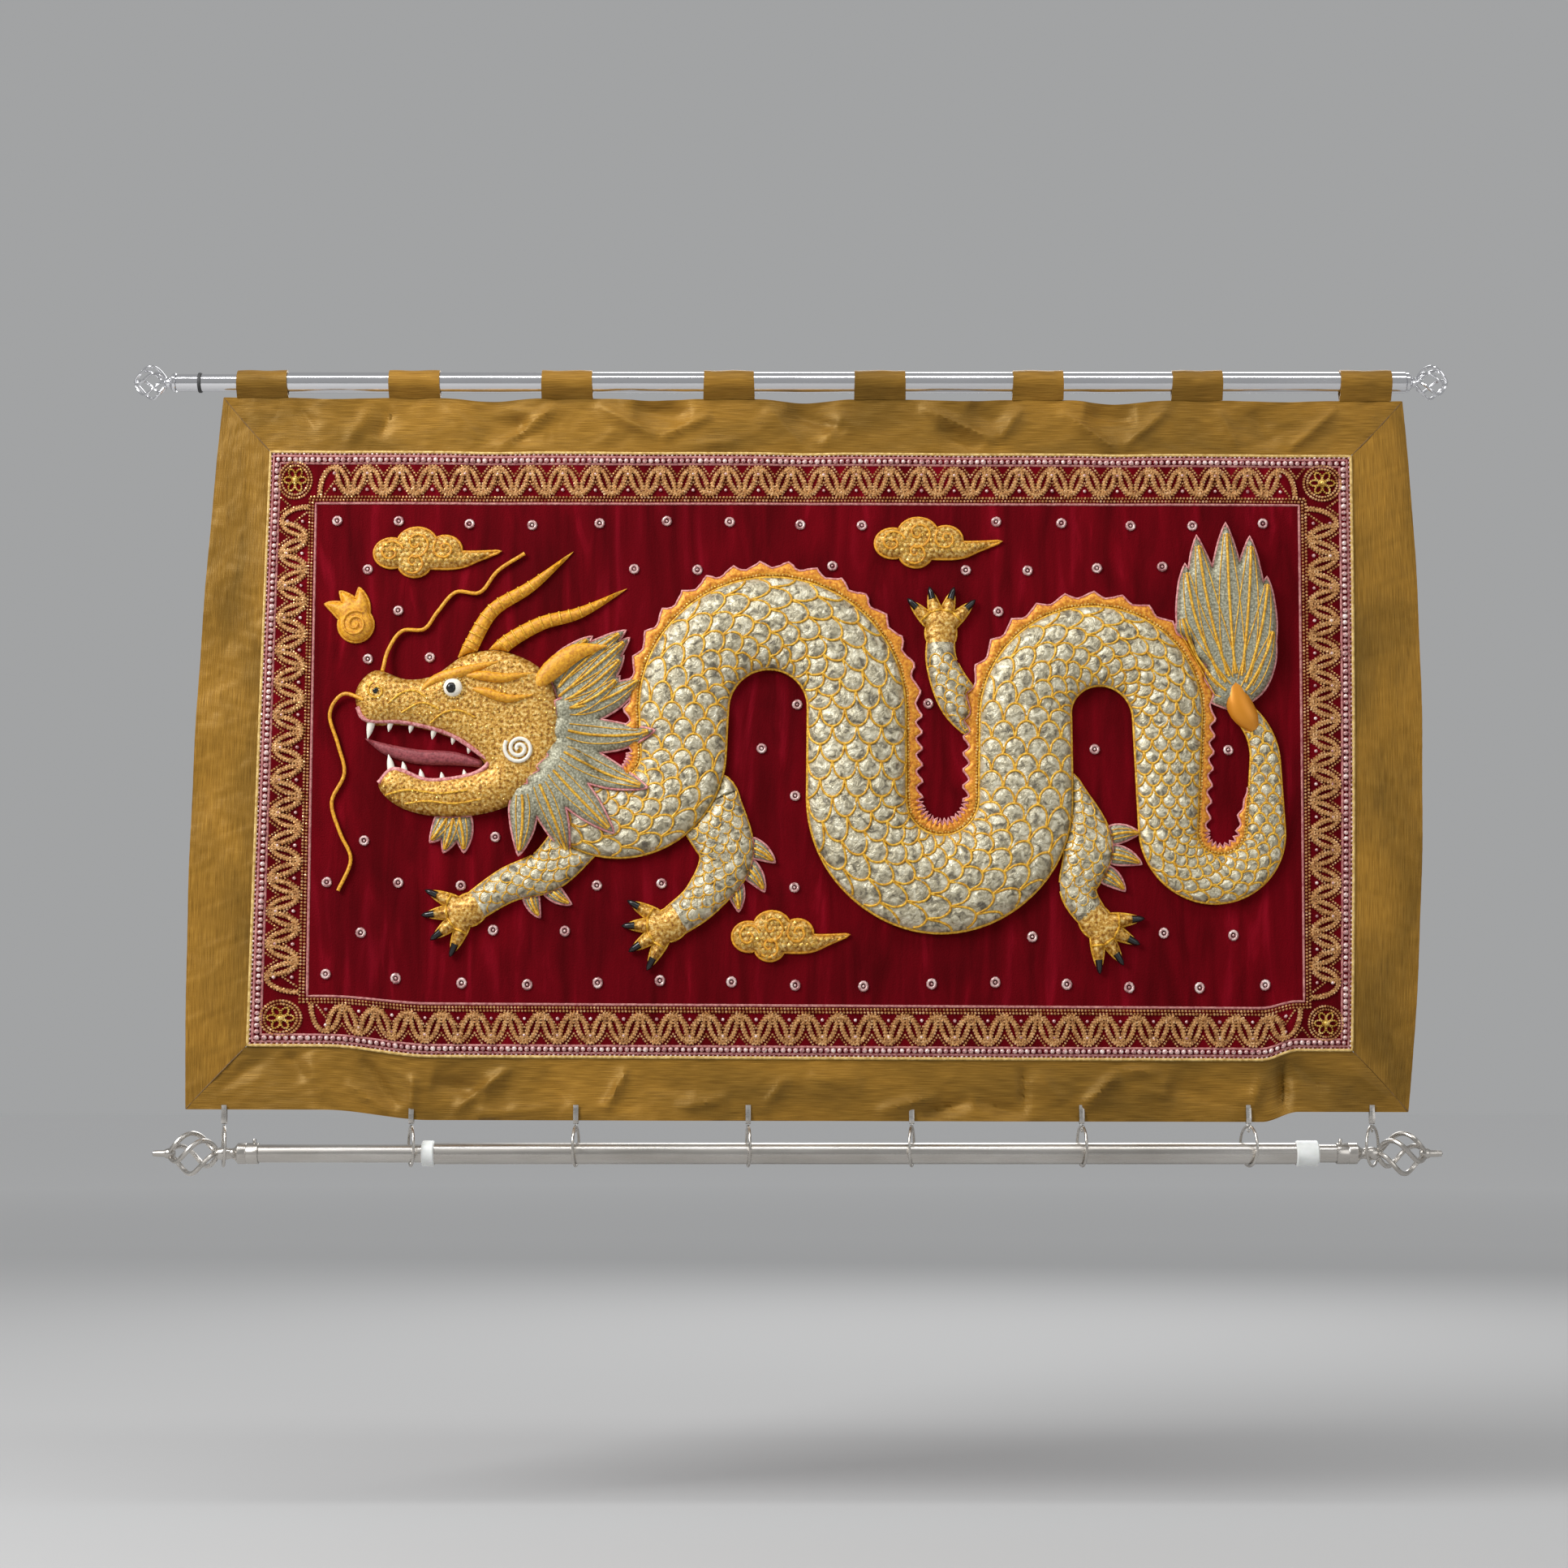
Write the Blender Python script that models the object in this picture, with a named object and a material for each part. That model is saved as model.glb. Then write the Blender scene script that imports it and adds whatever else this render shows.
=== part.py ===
"""Wall hanging of padded applique on velvet with a silk surround, on a telescopic rod.

Metres, +Z up, and the front faces -Y. The origin is on the upper rod's axis, over the middle of
the cloth. Each cloth piece is laid out flat, p across from the middle and q down from the top
edge, and hang() puts a flat point where it hangs. The beast and its clouds are laid out as a
across and b up from the middle of the velvet field.
"""

import math

import bmesh
import bpy
import numpy as np
from mathutils import Vector
from mathutils.geometry import delaunay_2d_cdt

# Clearances between neighbouring pieces
GAP = 0.0003
SEAM_GAP = 0.0004
CLIP_GAP = 0.0008

# Cloth, flat
CLOTH_WIDTH = 1.096
CLOTH_HEIGHT = 0.647
VELVET_HALF_WIDTH = 0.4915
VELVET_TOP = 0.051
VELVET_BOTTOM = 0.590
FIELD_MIDDLE = 0.3205
VELVET_THICK = 0.0024
SILK_THICK = 0.0016

# Where the upright seam lines hang: x at the top edge, at mid-height and at the hem
UPRIGHT_LINES = (
    # name, flat p, top, middle, bottom
    ("outer left", -0.548, -0.525, -0.545, -0.546),
    ("velvet left", -0.4915, -0.480, -0.487, -0.493),
    ("field left", -0.4445, -0.437, -0.437, -0.437),
    ("field right", 0.4445, 0.452, 0.450, 0.447),
    ("velvet right", 0.4915, 0.502, 0.499, 0.490),
    ("outer right", 0.548, 0.550, 0.561, 0.541),
)

# Where the level seam lines hang: z at the left edge, in the middle and at the right edge
LEVEL_LINES = (
    # name, flat q, left, middle, right
    ("top edge", 0.000, -0.0138, -0.0156, -0.0174),
    ("velvet top", 0.051, -0.0640, -0.0663, -0.0686),
    ("field top", 0.098, -0.1140, -0.1150, -0.1160),
    ("field bottom", 0.543, -0.5560, -0.5590, -0.5620),
    ("velvet bottom", 0.590, -0.6020, -0.6050, -0.6070),
    ("hem", 0.647, -0.6590, -0.6603, -0.6615),
)

# The hem sags in the middle and steps up at a tuck near each end
HEM_SAG = 0.0090
SAG_STARTS, SAG_ENDS = 0.450, 0.600
LEFT_STEP = (-0.430, -0.335)
RIGHT_STEP = (0.408, 0.440)

# Tabs, flat p of each middle, and the forward swell of the cloth in each bay between them
TAB_MIDDLES = (-0.503, -0.358, -0.219, -0.0715, 0.066, 0.210, 0.355, 0.508)
TAB_BAY_SWELLS = (0.0060, -0.0035, 0.0065, -0.0045, 0.0060, -0.0035, 0.0055)
TAB_WIDTH = 0.047
TAB_THICK = 0.0012
TAB_FLAT = 0.025
TAB_SAG = 0.0025
TAB_TAIL = 0.020
TOP_FADE = 0.035

# Clip rings, flat p of each clip and how far its ring is turned, in degrees
RINGS = (
    # flat p, turn
    (-0.511, 14),
    (-0.352, 14),
    (-0.205, -5),
    (-0.051, 6),
    (0.095, -9),
    (0.247, 8),
    (0.396, 16),
    (0.512, -28),
)
CLIP_BAY_SWELLS = (0.0050, -0.0040, 0.0055, -0.0035, 0.0050, -0.0045, 0.0040)
CLIP_FLAT = 0.006
BOTTOM_FADE = 0.032
RING_OUTER = 0.038
RING_WIRE = 0.0026
CLIP_WIDTH = 0.0045
CLIP_HEIGHT = 0.017
CLIP_SHEET = 0.0010

# Slow swell of the velvet and of the side strips
BELLY = 0.0035
WAVE, WAVE_LENGTH = 0.0012, 0.36
SIDE_WAVE, SIDE_WAVE_LENGTH = 0.0014, 0.13

# Rods: tubes 19 mm and 16 mm across, one sliding in the other
OUTER_RADIUS, INNER_RADIUS = 0.0095, 0.0080
TUBE_WALL = 0.0011
SLIDE = 0.060
ROD_SIDES = 20
UPPER_JOINT, UPPER_LEFT, UPPER_RIGHT = -0.481, -0.568, 0.553
LOWER_AXIS = -0.698
LOWER_LEFT_JOINT, LOWER_RIGHT_JOINT = -0.335, 0.460
LOWER_LEFT, LOWER_RIGHT = -0.490, 0.486
COLLAR_RADIUS, COLLAR_WIDTH = 0.0115, 0.011
SLEEVE_RADIUS, SLEEVE_WIDTH = 0.0115, 0.020
STOP_RADIUS, STOP_WIDTH, STOP_PLACE = 0.0092, 0.003, -0.548

# Padded applique
LINING = 0.0005
RIM = 0.0010
CLEAR = 0.0006
FILL_SPACING = 0.013
BODY_ACROSS = (-1.0, -0.72, 0.0, 0.72, 1.0)
BODY_PUFF = 0.36
CREST_WIDTH, CREST_TOOTH, CREST_PUFF = 0.0075, 0.0065, 0.0025
CREST_FIRST, CREST_LAST = 5, -6

# The beast's body is a chain of arcs joined by upright runs, dipping and arching by turns
BODY_ARCS = (
    # name, centre a, centre b, radius, first angle, last angle, half-width at each end
    ("neck", -0.171, -0.004, 0.060, 205, 360, 0.033, 0.038),
    ("shoulder arch", -0.033, 0.036, 0.078, 180, 0, 0.040, 0.044),
    ("belly dip", 0.121, -0.045, 0.076, 180, 360, 0.0445, 0.042),
    ("hip arch", 0.261, 0.030, 0.064, 180, 0, 0.041, 0.031),
    ("tail dip", 0.369, -0.072, 0.044, 180, 360, 0.026, 0.017),
    ("tail tip", 0.353, -0.010, 0.060, 0, 48, 0.013, 0.009),
)
BODY_STEP = 0.0148


def clear_scene():
    for old in list(bpy.data.objects):
        bpy.data.objects.remove(old, do_unlink=True)


def paint(name, colour, roughness, metallic=0.0):
    """A Principled material with the piece's own colour."""
    made = bpy.data.materials.new(name)
    made.use_nodes = True
    shader = made.node_tree.nodes["Principled BSDF"]
    shader.inputs["Base Color"].default_value = (*colour, 1.0)
    shader.inputs["Roughness"].default_value = roughness
    shader.inputs["Metallic"].default_value = metallic
    made.diffuse_color = (*colour, 1.0)
    return made


def add_object(name, points, faces, material, crease=40):
    """A closed mesh object with its faces turned outwards and shaded smooth but for its edges."""
    mesh = bpy.data.meshes.new(name)
    corners = [tuple(map(float, point)) for point in points]
    mesh.from_pydata(corners, [], [tuple(face) for face in faces])
    shell = bmesh.new()
    shell.from_mesh(mesh)
    bmesh.ops.recalc_face_normals(shell, faces=shell.faces)
    if shell.calc_volume(signed=True) < 0:
        bmesh.ops.reverse_faces(shell, faces=shell.faces)
    shell.to_mesh(mesh)
    shell.free()
    mesh.shade_smooth()
    mesh.set_sharp_from_angle(angle=math.radians(crease))
    mesh.materials.append(material)
    made = bpy.data.objects.new(name, mesh)
    bpy.context.scene.collection.objects.link(made)
    return made


def layered(name, front, back, faces, material):
    """A closed solid between two like layers of points, walled along the edge of the faces."""
    count = len(front)
    directed = {(face[i - 1], face[i]) for face in faces for i in range(len(face))}
    rim = [edge for edge in directed if edge[::-1] not in directed]
    walls = [(end, start, count + start, count + end) for start, end in rim]
    backs = [[count + i for i in reversed(face)] for face in faces]
    return add_object(name, [*front, *back], [*faces, *backs, *sorted(walls)], material)


def grid_faces(rows, columns):
    """Quads over a grid of points that is stored row by row."""
    found = []
    for row in range(rows - 1):
        for column in range(columns - 1):
            corner = row * columns + column
            found.append([corner, corner + columns, corner + columns + 1, corner + 1])
    return found


def ease(value, start, end):
    """Smooth step from 0 at start to 1 at end."""
    share = np.clip((value - start) / (end - start), 0, 1)
    return share * share * (3 - 2 * share)


def between_lines(lines, flat, along):
    """Where flat falls between seam lines, each bowed through its three values at the share along."""
    stations = np.array([line[1] for line in lines])
    first, middle, last = np.array([line[2:] for line in lines]).T
    places = np.outer(first, 1 - along) + np.outer(last, along)
    places += np.outer(middle - (first + last) / 2, 4 * along * (1 - along))
    after = np.clip(np.searchsorted(stations, flat), 1, len(lines) - 1)
    share = (flat - stations[after - 1]) / (stations[after] - stations[after - 1])
    index = np.arange(len(flat))
    return places[after - 1, index] * (1 - share) + places[after, index] * share


def bays(p, stops, flat, swells):
    """Swell between fixed stops: nothing within flat of a stop, and each bay's own in its middle."""
    height = np.zeros_like(p)
    for left, right, swell in zip(stops, stops[1:], swells):
        share = np.clip((p - left - flat) / (right - left - 2 * flat), 0, 1)
        height += swell * np.sin(math.pi * share) ** 2
    return height


def relief(p, q):
    """How far the cloth stands forward of the plane under the rod."""
    top = bays(p, TAB_MIDDLES, TAB_FLAT, TAB_BAY_SWELLS) * np.exp(-q / TOP_FADE)
    clips = [ring[0] for ring in RINGS]
    bottom = bays(p, clips, CLIP_FLAT, CLIP_BAY_SWELLS) * np.exp((q - CLOTH_HEIGHT) / BOTTOM_FADE)
    down = np.sin(math.pi * np.clip(q / CLOTH_HEIGHT, 0, 1))
    belly = BELLY * np.cos(math.pi * p / CLOTH_WIDTH) * down
    wave = WAVE * np.cos(math.tau * p / WAVE_LENGTH + 0.6) * down
    side = ease(np.abs(p), 0.48, 0.54) * down * SIDE_WAVE * np.sin(math.tau * q / SIDE_WAVE_LENGTH + p)
    return top + bottom + belly + wave + side


def hang(p, q, lift):
    """World points of flat points, lifted forward off the middle of the cloth."""
    p, q, lift = (np.array(part, float).ravel() for part in np.broadcast_arrays(p, q, lift))
    x = between_lines(UPRIGHT_LINES, p, q / CLOTH_HEIGHT)
    z = between_lines(LEVEL_LINES, q, p / CLOTH_WIDTH + 0.5)
    sag = HEM_SAG * ease(p, *LEFT_STEP) * (1 - ease(p, *RIGHT_STEP))
    z -= sag * ease(q, SAG_STARTS, SAG_ENDS)
    hollow = bays(p, TAB_MIDDLES, TAB_FLAT, [TAB_SAG] * len(TAB_BAY_SWELLS))
    z -= hollow * np.exp(-q / TOP_FADE)
    return np.stack([x, -relief(p, q) - lift, z], axis=1)


def sheet(name, p, q, thick, material):
    """A cloth piece from a grid of flat points, rows down and columns across."""
    faces = grid_faces(*p.shape)
    return layered(name, hang(p, q, thick / 2), hang(p, q, -thick / 2), faces, material)


def cloth_pieces(velvet, silk):
    """The velvet panel and the four mitred strips round it, seam to seam."""
    half, outer = VELVET_HALF_WIDTH, CLOTH_WIDTH / 2
    inset, mitre = SEAM_GAP / 2, SEAM_GAP * 0.75
    across = np.linspace(-1, 1, 31)
    down = np.linspace(0, 1, 14)
    height = VELVET_BOTTOM - VELVET_TOP
    p, q = np.meshgrid(across * (half - inset), VELVET_TOP + inset + down * (height - 2 * inset))
    sheet("velvet_panel", p, q, VELVET_THICK, velvet)

    widths = np.linspace(0, 1, 4)
    for name, edge, seam in (
        ("silk_top", 0.0, VELVET_TOP - inset),
        ("silk_bottom", CLOTH_HEIGHT, VELVET_BOTTOM + inset),
    ):
        reach = outer - mitre + (half - outer) * widths
        p = np.outer(reach, across)
        if edge:
            for flat, _ in RINGS:
                p[0, np.abs(p[0] - flat).argmin()] = flat
        q = np.outer(edge + (seam - edge) * widths, np.ones_like(across))
        order = slice(None) if seam > edge else slice(None, None, -1)
        sheet(name, p[order], q[order], SILK_THICK, silk)
    for name, side in (("silk_left", -1), ("silk_right", 1)):
        p = np.outer(np.ones_like(down), side * (outer + (half + inset - outer) * widths))
        high = mitre + VELVET_TOP * widths
        low = CLOTH_HEIGHT - mitre + (VELVET_BOTTOM - CLOTH_HEIGHT) * widths
        q = np.outer(1 - down, high) + np.outer(down, low)
        order = slice(None) if side < 0 else slice(None, None, -1)
        sheet(name, p[:, order], q[:, order], SILK_THICK, silk)


def tab_path(top_edge):
    """The tab's middle line in (y, z): up from its front seam, over the rod and down the back."""
    radius = OUTER_RADIUS + GAP + TAB_THICK / 2
    front_foot = (-TAB_THICK * 0.65, top_edge + SEAM_GAP)
    back_turn = (SILK_THICK / 2 + CLIP_GAP + TAB_THICK / 2, top_edge)
    back_foot = (back_turn[0], top_edge - TAB_TAIL)
    front_lead = math.acos(radius / math.hypot(*front_foot))
    back_lead = math.acos(radius / math.hypot(*back_turn))
    start = math.atan2(front_foot[1], front_foot[0]) - front_lead + math.tau
    end = math.atan2(back_turn[1], back_turn[0]) + back_lead
    arc = [(radius * math.cos(turn), radius * math.sin(turn)) for turn in np.linspace(start, end, 12)]
    return np.array([front_foot, *arc, back_turn, back_foot])


def add_tabs(silk):
    """Eight flat loops of the surround's silk, sewn to the top edge and passed over the rod."""
    for number, middle in enumerate(TAB_MIDDLES, 1):
        place = hang(middle, 0.0, 0.0)[0]
        path = tab_path(place[2])
        ahead = np.gradient(path, axis=0)
        ahead /= np.linalg.norm(ahead, axis=1)[:, None]
        outward = np.stack([-ahead[:, 1], ahead[:, 0]], axis=1) * TAB_THICK / 2
        layers = []
        for layer in (path + outward, path - outward):
            sides = [(place[0] + end * TAB_WIDTH / 2, y, z) for y, z in layer for end in (-1, 0, 1)]
            layers.append(sides)
        layered(f"tab_{number}", *layers, grid_faces(len(path), 3), silk)


def turned(name, profile, material, sides=ROD_SIDES, closed=False):
    """A profile of (x, radius) points turned about the X axis; a closed one makes a tube."""
    points, rings = [], []
    for x, radius in profile:
        turns = [math.tau * step / sides for step in range(sides if radius else 1)]
        rings.append([len(points) + step for step in range(len(turns))])
        points += [(x, radius * math.cos(turn), radius * math.sin(turn)) for turn in turns]
    faces = []
    for here, there in zip(rings, rings[1:] + rings[:1] * closed):
        for step in range(sides):
            corners = [
                here[step % len(here)],
                here[(step + 1) % len(here)],
                there[(step + 1) % len(there)],
                there[step % len(there)],
            ]
            corners = list(dict.fromkeys(corners))
            if len(corners) > 2:
                faces.append(corners)
    return add_object(name, points, faces, material, crease=50)


def add_tube(name, start, end, outside, inside, height, material):
    """An open tube along X."""
    profile = ((start, outside), (end, outside), (end, inside), (start, inside))
    made = turned(name, profile, material, closed=True)
    made.location.z = height
    return made


def twisted_bar(name, start, length, belly, turn, twist, wire, material):
    """One bar of a cage: it bows out from pole to pole of a ball while it winds round it."""
    steps, sides = 8, 4
    shares = np.linspace(0, 1, steps)
    reach = wire * 0.8 + (belly - wire) * np.sin(math.pi * shares) ** 0.75
    angle = turn + twist * shares
    path = np.stack([start + length * shares, reach * np.cos(angle), reach * np.sin(angle)], axis=1)
    ahead = np.gradient(path, axis=0)
    ahead /= np.linalg.norm(ahead, axis=1)[:, None]
    radial = np.stack([np.zeros(steps), np.cos(angle), np.sin(angle)], axis=1)
    side = np.cross(ahead, radial)
    side /= np.linalg.norm(side, axis=1)[:, None]
    other = np.cross(side, ahead)
    points = []
    for step in range(steps):
        for corner in range(sides):
            angle_here = math.tau * corner / sides
            offset = side[step] * math.cos(angle_here) + other[step] * math.sin(angle_here)
            points.append(path[step] + offset * wire)
    faces = [list(range(sides)), list(range((steps - 1) * sides, steps * sides))]
    for step in range(steps - 1):
        for corner in range(sides):
            following = (corner + 1) % sides
            low, high = step * sides, (step + 1) * sides
            faces.append([low + corner, low + following, high + following, high + corner])
    return add_object(name, points, faces, material)


def cage_finial(name, spindle, cage_start, cage_length, belly, bars, twist, wire, material, closed=False):
    """The mesh of a finial on +X: a turned spindle joined to a ball-shaped cage of twisted bars."""
    finial = turned(name, spindle, material, sides=12, closed=closed)
    for number in range(bars):
        turn = math.tau * number / bars
        bar = twisted_bar(
            f"{name}_bar_{number}", cage_start, cage_length, belly, turn, twist, wire, material
        )
        bar.hide_render = True
        bar.display_type = "WIRE"
        join = finial.modifiers.new(f"bar {number}", "BOOLEAN")
        join.operation = "UNION"
        join.object = bar
    return finial


def place_finial(pattern, name, x, height, side):
    """A finial as its own object on the end of a rod, turned about Z for the left end."""
    bpy.context.view_layer.update()
    graph = bpy.context.evaluated_depsgraph_get()
    mesh = bpy.data.meshes.new_from_object(pattern.evaluated_get(graph))
    mesh.name = name
    made = bpy.data.objects.new(name, mesh)
    made.location = (x, 0.0, height)
    made.rotation_euler.z = 0.0 if side > 0 else math.pi
    bpy.context.scene.collection.objects.link(made)


def drop_patterns():
    """Removes the finial patterns and their bars, which the placed finials no longer need."""
    for old in [thing for thing in bpy.data.objects if thing.name.startswith("pattern")]:
        bpy.data.objects.remove(old, do_unlink=True)


def add_upper_rod(chrome, dark):
    """Chrome rod: a 16 mm tube slides in a 19 mm tube, with a wire ball finial in each end."""
    bore = INNER_RADIUS + GAP
    add_tube("upper_rod_outer", UPPER_JOINT, UPPER_RIGHT, OUTER_RADIUS, bore, 0.0, chrome)
    inner_bore = INNER_RADIUS - TUBE_WALL
    add_tube(
        "upper_rod_inner", UPPER_LEFT, UPPER_JOINT + SLIDE, INNER_RADIUS, inner_bore, 0.0, chrome
    )
    add_tube(
        "stop_ring",
        STOP_PLACE,
        STOP_PLACE + STOP_WIDTH,
        STOP_RADIUS,
        INNER_RADIUS + GAP,
        0.0,
        dark,
    )
    plug = inner_bore - GAP
    spindle = (
        (-0.012, 0.0),
        (-0.012, plug),
        (GAP, plug),
        (GAP, 0.0088),
        (0.003, 0.0088),
        (0.006, 0.0050),
        (0.010, 0.0042),
        (0.012, 0.0),
    )
    pattern = cage_finial(
        "pattern_ball", spindle, 0.009, 0.029, 0.0150, 6, math.radians(100), 0.0013, chrome
    )
    place_finial(pattern, "upper_finial_left", UPPER_LEFT, 0.0, -1)
    place_finial(pattern, "upper_finial_right", UPPER_RIGHT, 0.0, 1)


def add_lower_rod(nickel, white):
    """Satin rod in three telescoping tubes, weighting the hem, with an open cage at each end."""
    bore = INNER_RADIUS + GAP
    inner_bore = INNER_RADIUS - TUBE_WALL
    left_start = LOWER_LEFT_JOINT
    for name, start, end, outside, inside in (
        ("lower_rod_outer", left_start, LOWER_RIGHT_JOINT, OUTER_RADIUS, bore),
        ("lower_rod_left", LOWER_LEFT, left_start + SLIDE, INNER_RADIUS, inner_bore),
        ("lower_rod_right", LOWER_RIGHT_JOINT - SLIDE, LOWER_RIGHT, INNER_RADIUS, inner_bore),
    ):
        add_tube(name, start, end, outside, inside, LOWER_AXIS, nickel)
    sleeve_start = LOWER_RIGHT_JOINT - SLEEVE_WIDTH
    for name, start, width, radius in (
        ("joint_collar", left_start, COLLAR_WIDTH, COLLAR_RADIUS),
        ("joint_sleeve", sleeve_start, SLEEVE_WIDTH, SLEEVE_RADIUS),
    ):
        add_tube(name, start, start + width, radius, OUTER_RADIUS + GAP, LOWER_AXIS, white)
    socket = INNER_RADIUS + GAP
    spindle = (
        (-0.010, socket),
        (-0.010, 0.0093),
        (0.008, 0.0093),
        (0.010, 0.0070),
        (0.014, 0.0045),
        (0.020, 0.0058),
        (0.028, 0.0045),
        (0.031, 0.0),
        (GAP, 0.0),
        (GAP, socket),
    )
    pattern = cage_finial(
        "pattern_cage", spindle, 0.027, 0.042, 0.0185, 4, math.radians(150), 0.0022, nickel, closed=True
    )
    stem = (
        (0.064, 0.0),
        (0.064, 0.0035),
        (0.070, 0.0048),
        (0.074, 0.0032),
        (0.083, 0.0028),
        (0.085, 0.0),
    )
    tip = turned("pattern_tip", stem, nickel, sides=12)
    tip.hide_render = True
    tip.display_type = "WIRE"
    join = pattern.modifiers.new("tip", "BOOLEAN")
    join.operation = "UNION"
    join.object = tip
    place_finial(pattern, "lower_finial_left", LOWER_LEFT, LOWER_AXIS, -1)
    place_finial(pattern, "lower_finial_right", LOWER_RIGHT, LOWER_AXIS, 1)


def add_rings(nickel):
    """Eight wire rings round the lower rod, each hung from a folded clip that grips the hem."""
    rod_bottom = LOWER_AXIS - OUTER_RADIUS
    centre = rod_bottom - GAP - RING_WIRE + RING_OUTER / 2
    wire = RING_WIRE / 2
    middle = RING_OUTER / 2 - wire
    section = [
        (wire * math.cos(math.tau * step / 5), middle + wire * math.sin(math.tau * step / 5))
        for step in range(5)
    ]
    jaw = SILK_THICK / 2 + CLIP_GAP
    outside = jaw + CLIP_SHEET
    floor = centre + RING_OUTER / 2 + GAP
    top = floor + CLIP_HEIGHT
    fold = (
        (-outside, floor),
        (outside, floor),
        (outside, top),
        (jaw, top),
        (jaw, floor + CLIP_SHEET),
        (-jaw, floor + CLIP_SHEET),
        (-jaw, top),
        (-outside, top),
    )
    quads = [[0, 1, 4, 5], [1, 2, 3, 4], [0, 5, 6, 7]]
    for number, (flat, turn) in enumerate(RINGS, 1):
        x = hang(flat, CLOTH_HEIGHT, 0.0)[0][0]
        ring = turned(f"ring_{number}", section, nickel, sides=16, closed=True)
        ring.location = (x, 0.0, centre)
        ring.rotation_euler.z = math.radians(turn)
        ends = [[(x + side * CLIP_WIDTH / 2, y, z) for y, z in fold] for side in (-1, 1)]
        layered(f"clip_{number}", *ends, quads, nickel)


def smooth_path(rows, per_span):
    """A smooth curve through rows of numbers, per_span samples to each span."""
    rows = np.array(rows, float)
    before = np.vstack([2 * rows[0] - rows[1], rows, 2 * rows[-1] - rows[-2]])
    found = []
    for start in range(len(rows) - 1):
        p0, p1, p2, p3 = before[start : start + 4]
        for step in range(per_span):
            t = step / per_span
            bend = 2 * p0 - 5 * p1 + 4 * p2 - p3
            twist = 3 * p1 - p0 - 3 * p2 + p3
            found.append(0.5 * (2 * p1 + (p2 - p0) * t + bend * t**2 + twist * t**3))
    return np.array([*found, rows[-1]])


def sides_of(path):
    """Unit vectors to the left of a path's points."""
    ahead = np.gradient(path[:, :2], axis=0)
    ahead /= np.linalg.norm(ahead, axis=1)[:, None]
    return np.stack([-ahead[:, 1], ahead[:, 0]], axis=1)


def band(rows, per_span=2, pointed=False):
    """Outline of a band along a smooth path, rows of (a, b, half-width), round or pointed at its end."""
    path = smooth_path(rows, per_span)
    side = sides_of(path)
    reach = path[:, 2:3]
    right, left = path[:, :2] - side * reach, path[:, :2] + side * reach
    if pointed:
        return np.concatenate([right[:-1], path[-1:, :2], left[-2::-1]])
    ahead = np.array([side[-1][1], -side[-1][0]])
    cap = [
        path[-1, :2] + reach[-1] * (ahead * math.cos(turn) + side[-1] * math.sin(turn))
        for turn in (-0.8, 0, 0.8)
    ]
    return np.concatenate([right, cap, left[::-1]])


def blob(a, b, wide, high, lean=0.0, count=14):
    """Outline of an oval, leaning by an angle in degrees."""
    turns = np.arange(count) * math.tau / count
    across, up = wide * np.cos(turns), high * np.sin(turns)
    lean = math.radians(lean)
    return np.stack(
        [
            a + across * math.cos(lean) - up * math.sin(lean),
            b + across * math.sin(lean) + up * math.cos(lean),
        ],
        axis=1,
    )


def lock(base, heading, length, half_width, bow):
    """Outline of a lock of hair: a pointed leaf from base, turning by bow degrees on its way."""
    a, b = base
    rows = []
    for share, swell in ((0.0, 0.55), (0.3, 1.0), (0.6, 0.85), (0.85, 0.42), (1.0, 0.02)):
        angle = math.radians(heading + bow * share)
        rows.append(
            (
                a + length * share * math.cos(angle),
                b + length * share * math.sin(angle),
                half_width * swell,
            )
        )
    return band(rows, 1, pointed=True)


def closed_curve(rows, per_span=2):
    """Outline that runs smoothly through a closed row of points."""
    count = len(rows)
    looped = [rows[i % count] for i in range(-1, count + 2)]
    path = smooth_path(looped, per_span)
    return path[per_span : per_span * (count + 1)]


def grown(outline, by):
    """The outline moved outwards."""
    following, before = np.roll(outline, -1, axis=0), np.roll(outline, 1, axis=0)
    ahead = following - before
    ahead /= np.linalg.norm(ahead, axis=1)[:, None]
    return outline + by * np.stack([ahead[:, 1], -ahead[:, 0]], axis=1)


def edge_distance(points, starts, ends):
    """Distance of each point to the nearest of the segments."""
    nearest = np.full(len(points), np.inf)
    for start, end in zip(starts, ends):
        along = end - start
        share = np.clip((points - start) @ along / max(along @ along, 1e-12), 0, 1)
        nearest = np.minimum(nearest, np.linalg.norm(points - start - share[:, None] * along, axis=1))
    return nearest


def largest_island(triangles):
    """The triangles of the biggest patch that hangs together by its edges."""
    owner = {}
    island = list(range(len(triangles)))

    def root(item):
        while island[item] != item:
            item = island[item]
        return item

    for number, face in enumerate(triangles):
        for i in range(3):
            edge = frozenset((face[i - 1], face[i]))
            if edge in owner:
                island[root(number)] = root(owner[edge])
            owner[edge] = number
    roots = [root(number) for number in range(len(triangles))]
    biggest = max(set(roots), key=roots.count)
    return [face for face, mark in zip(triangles, roots) if mark == biggest]


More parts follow.
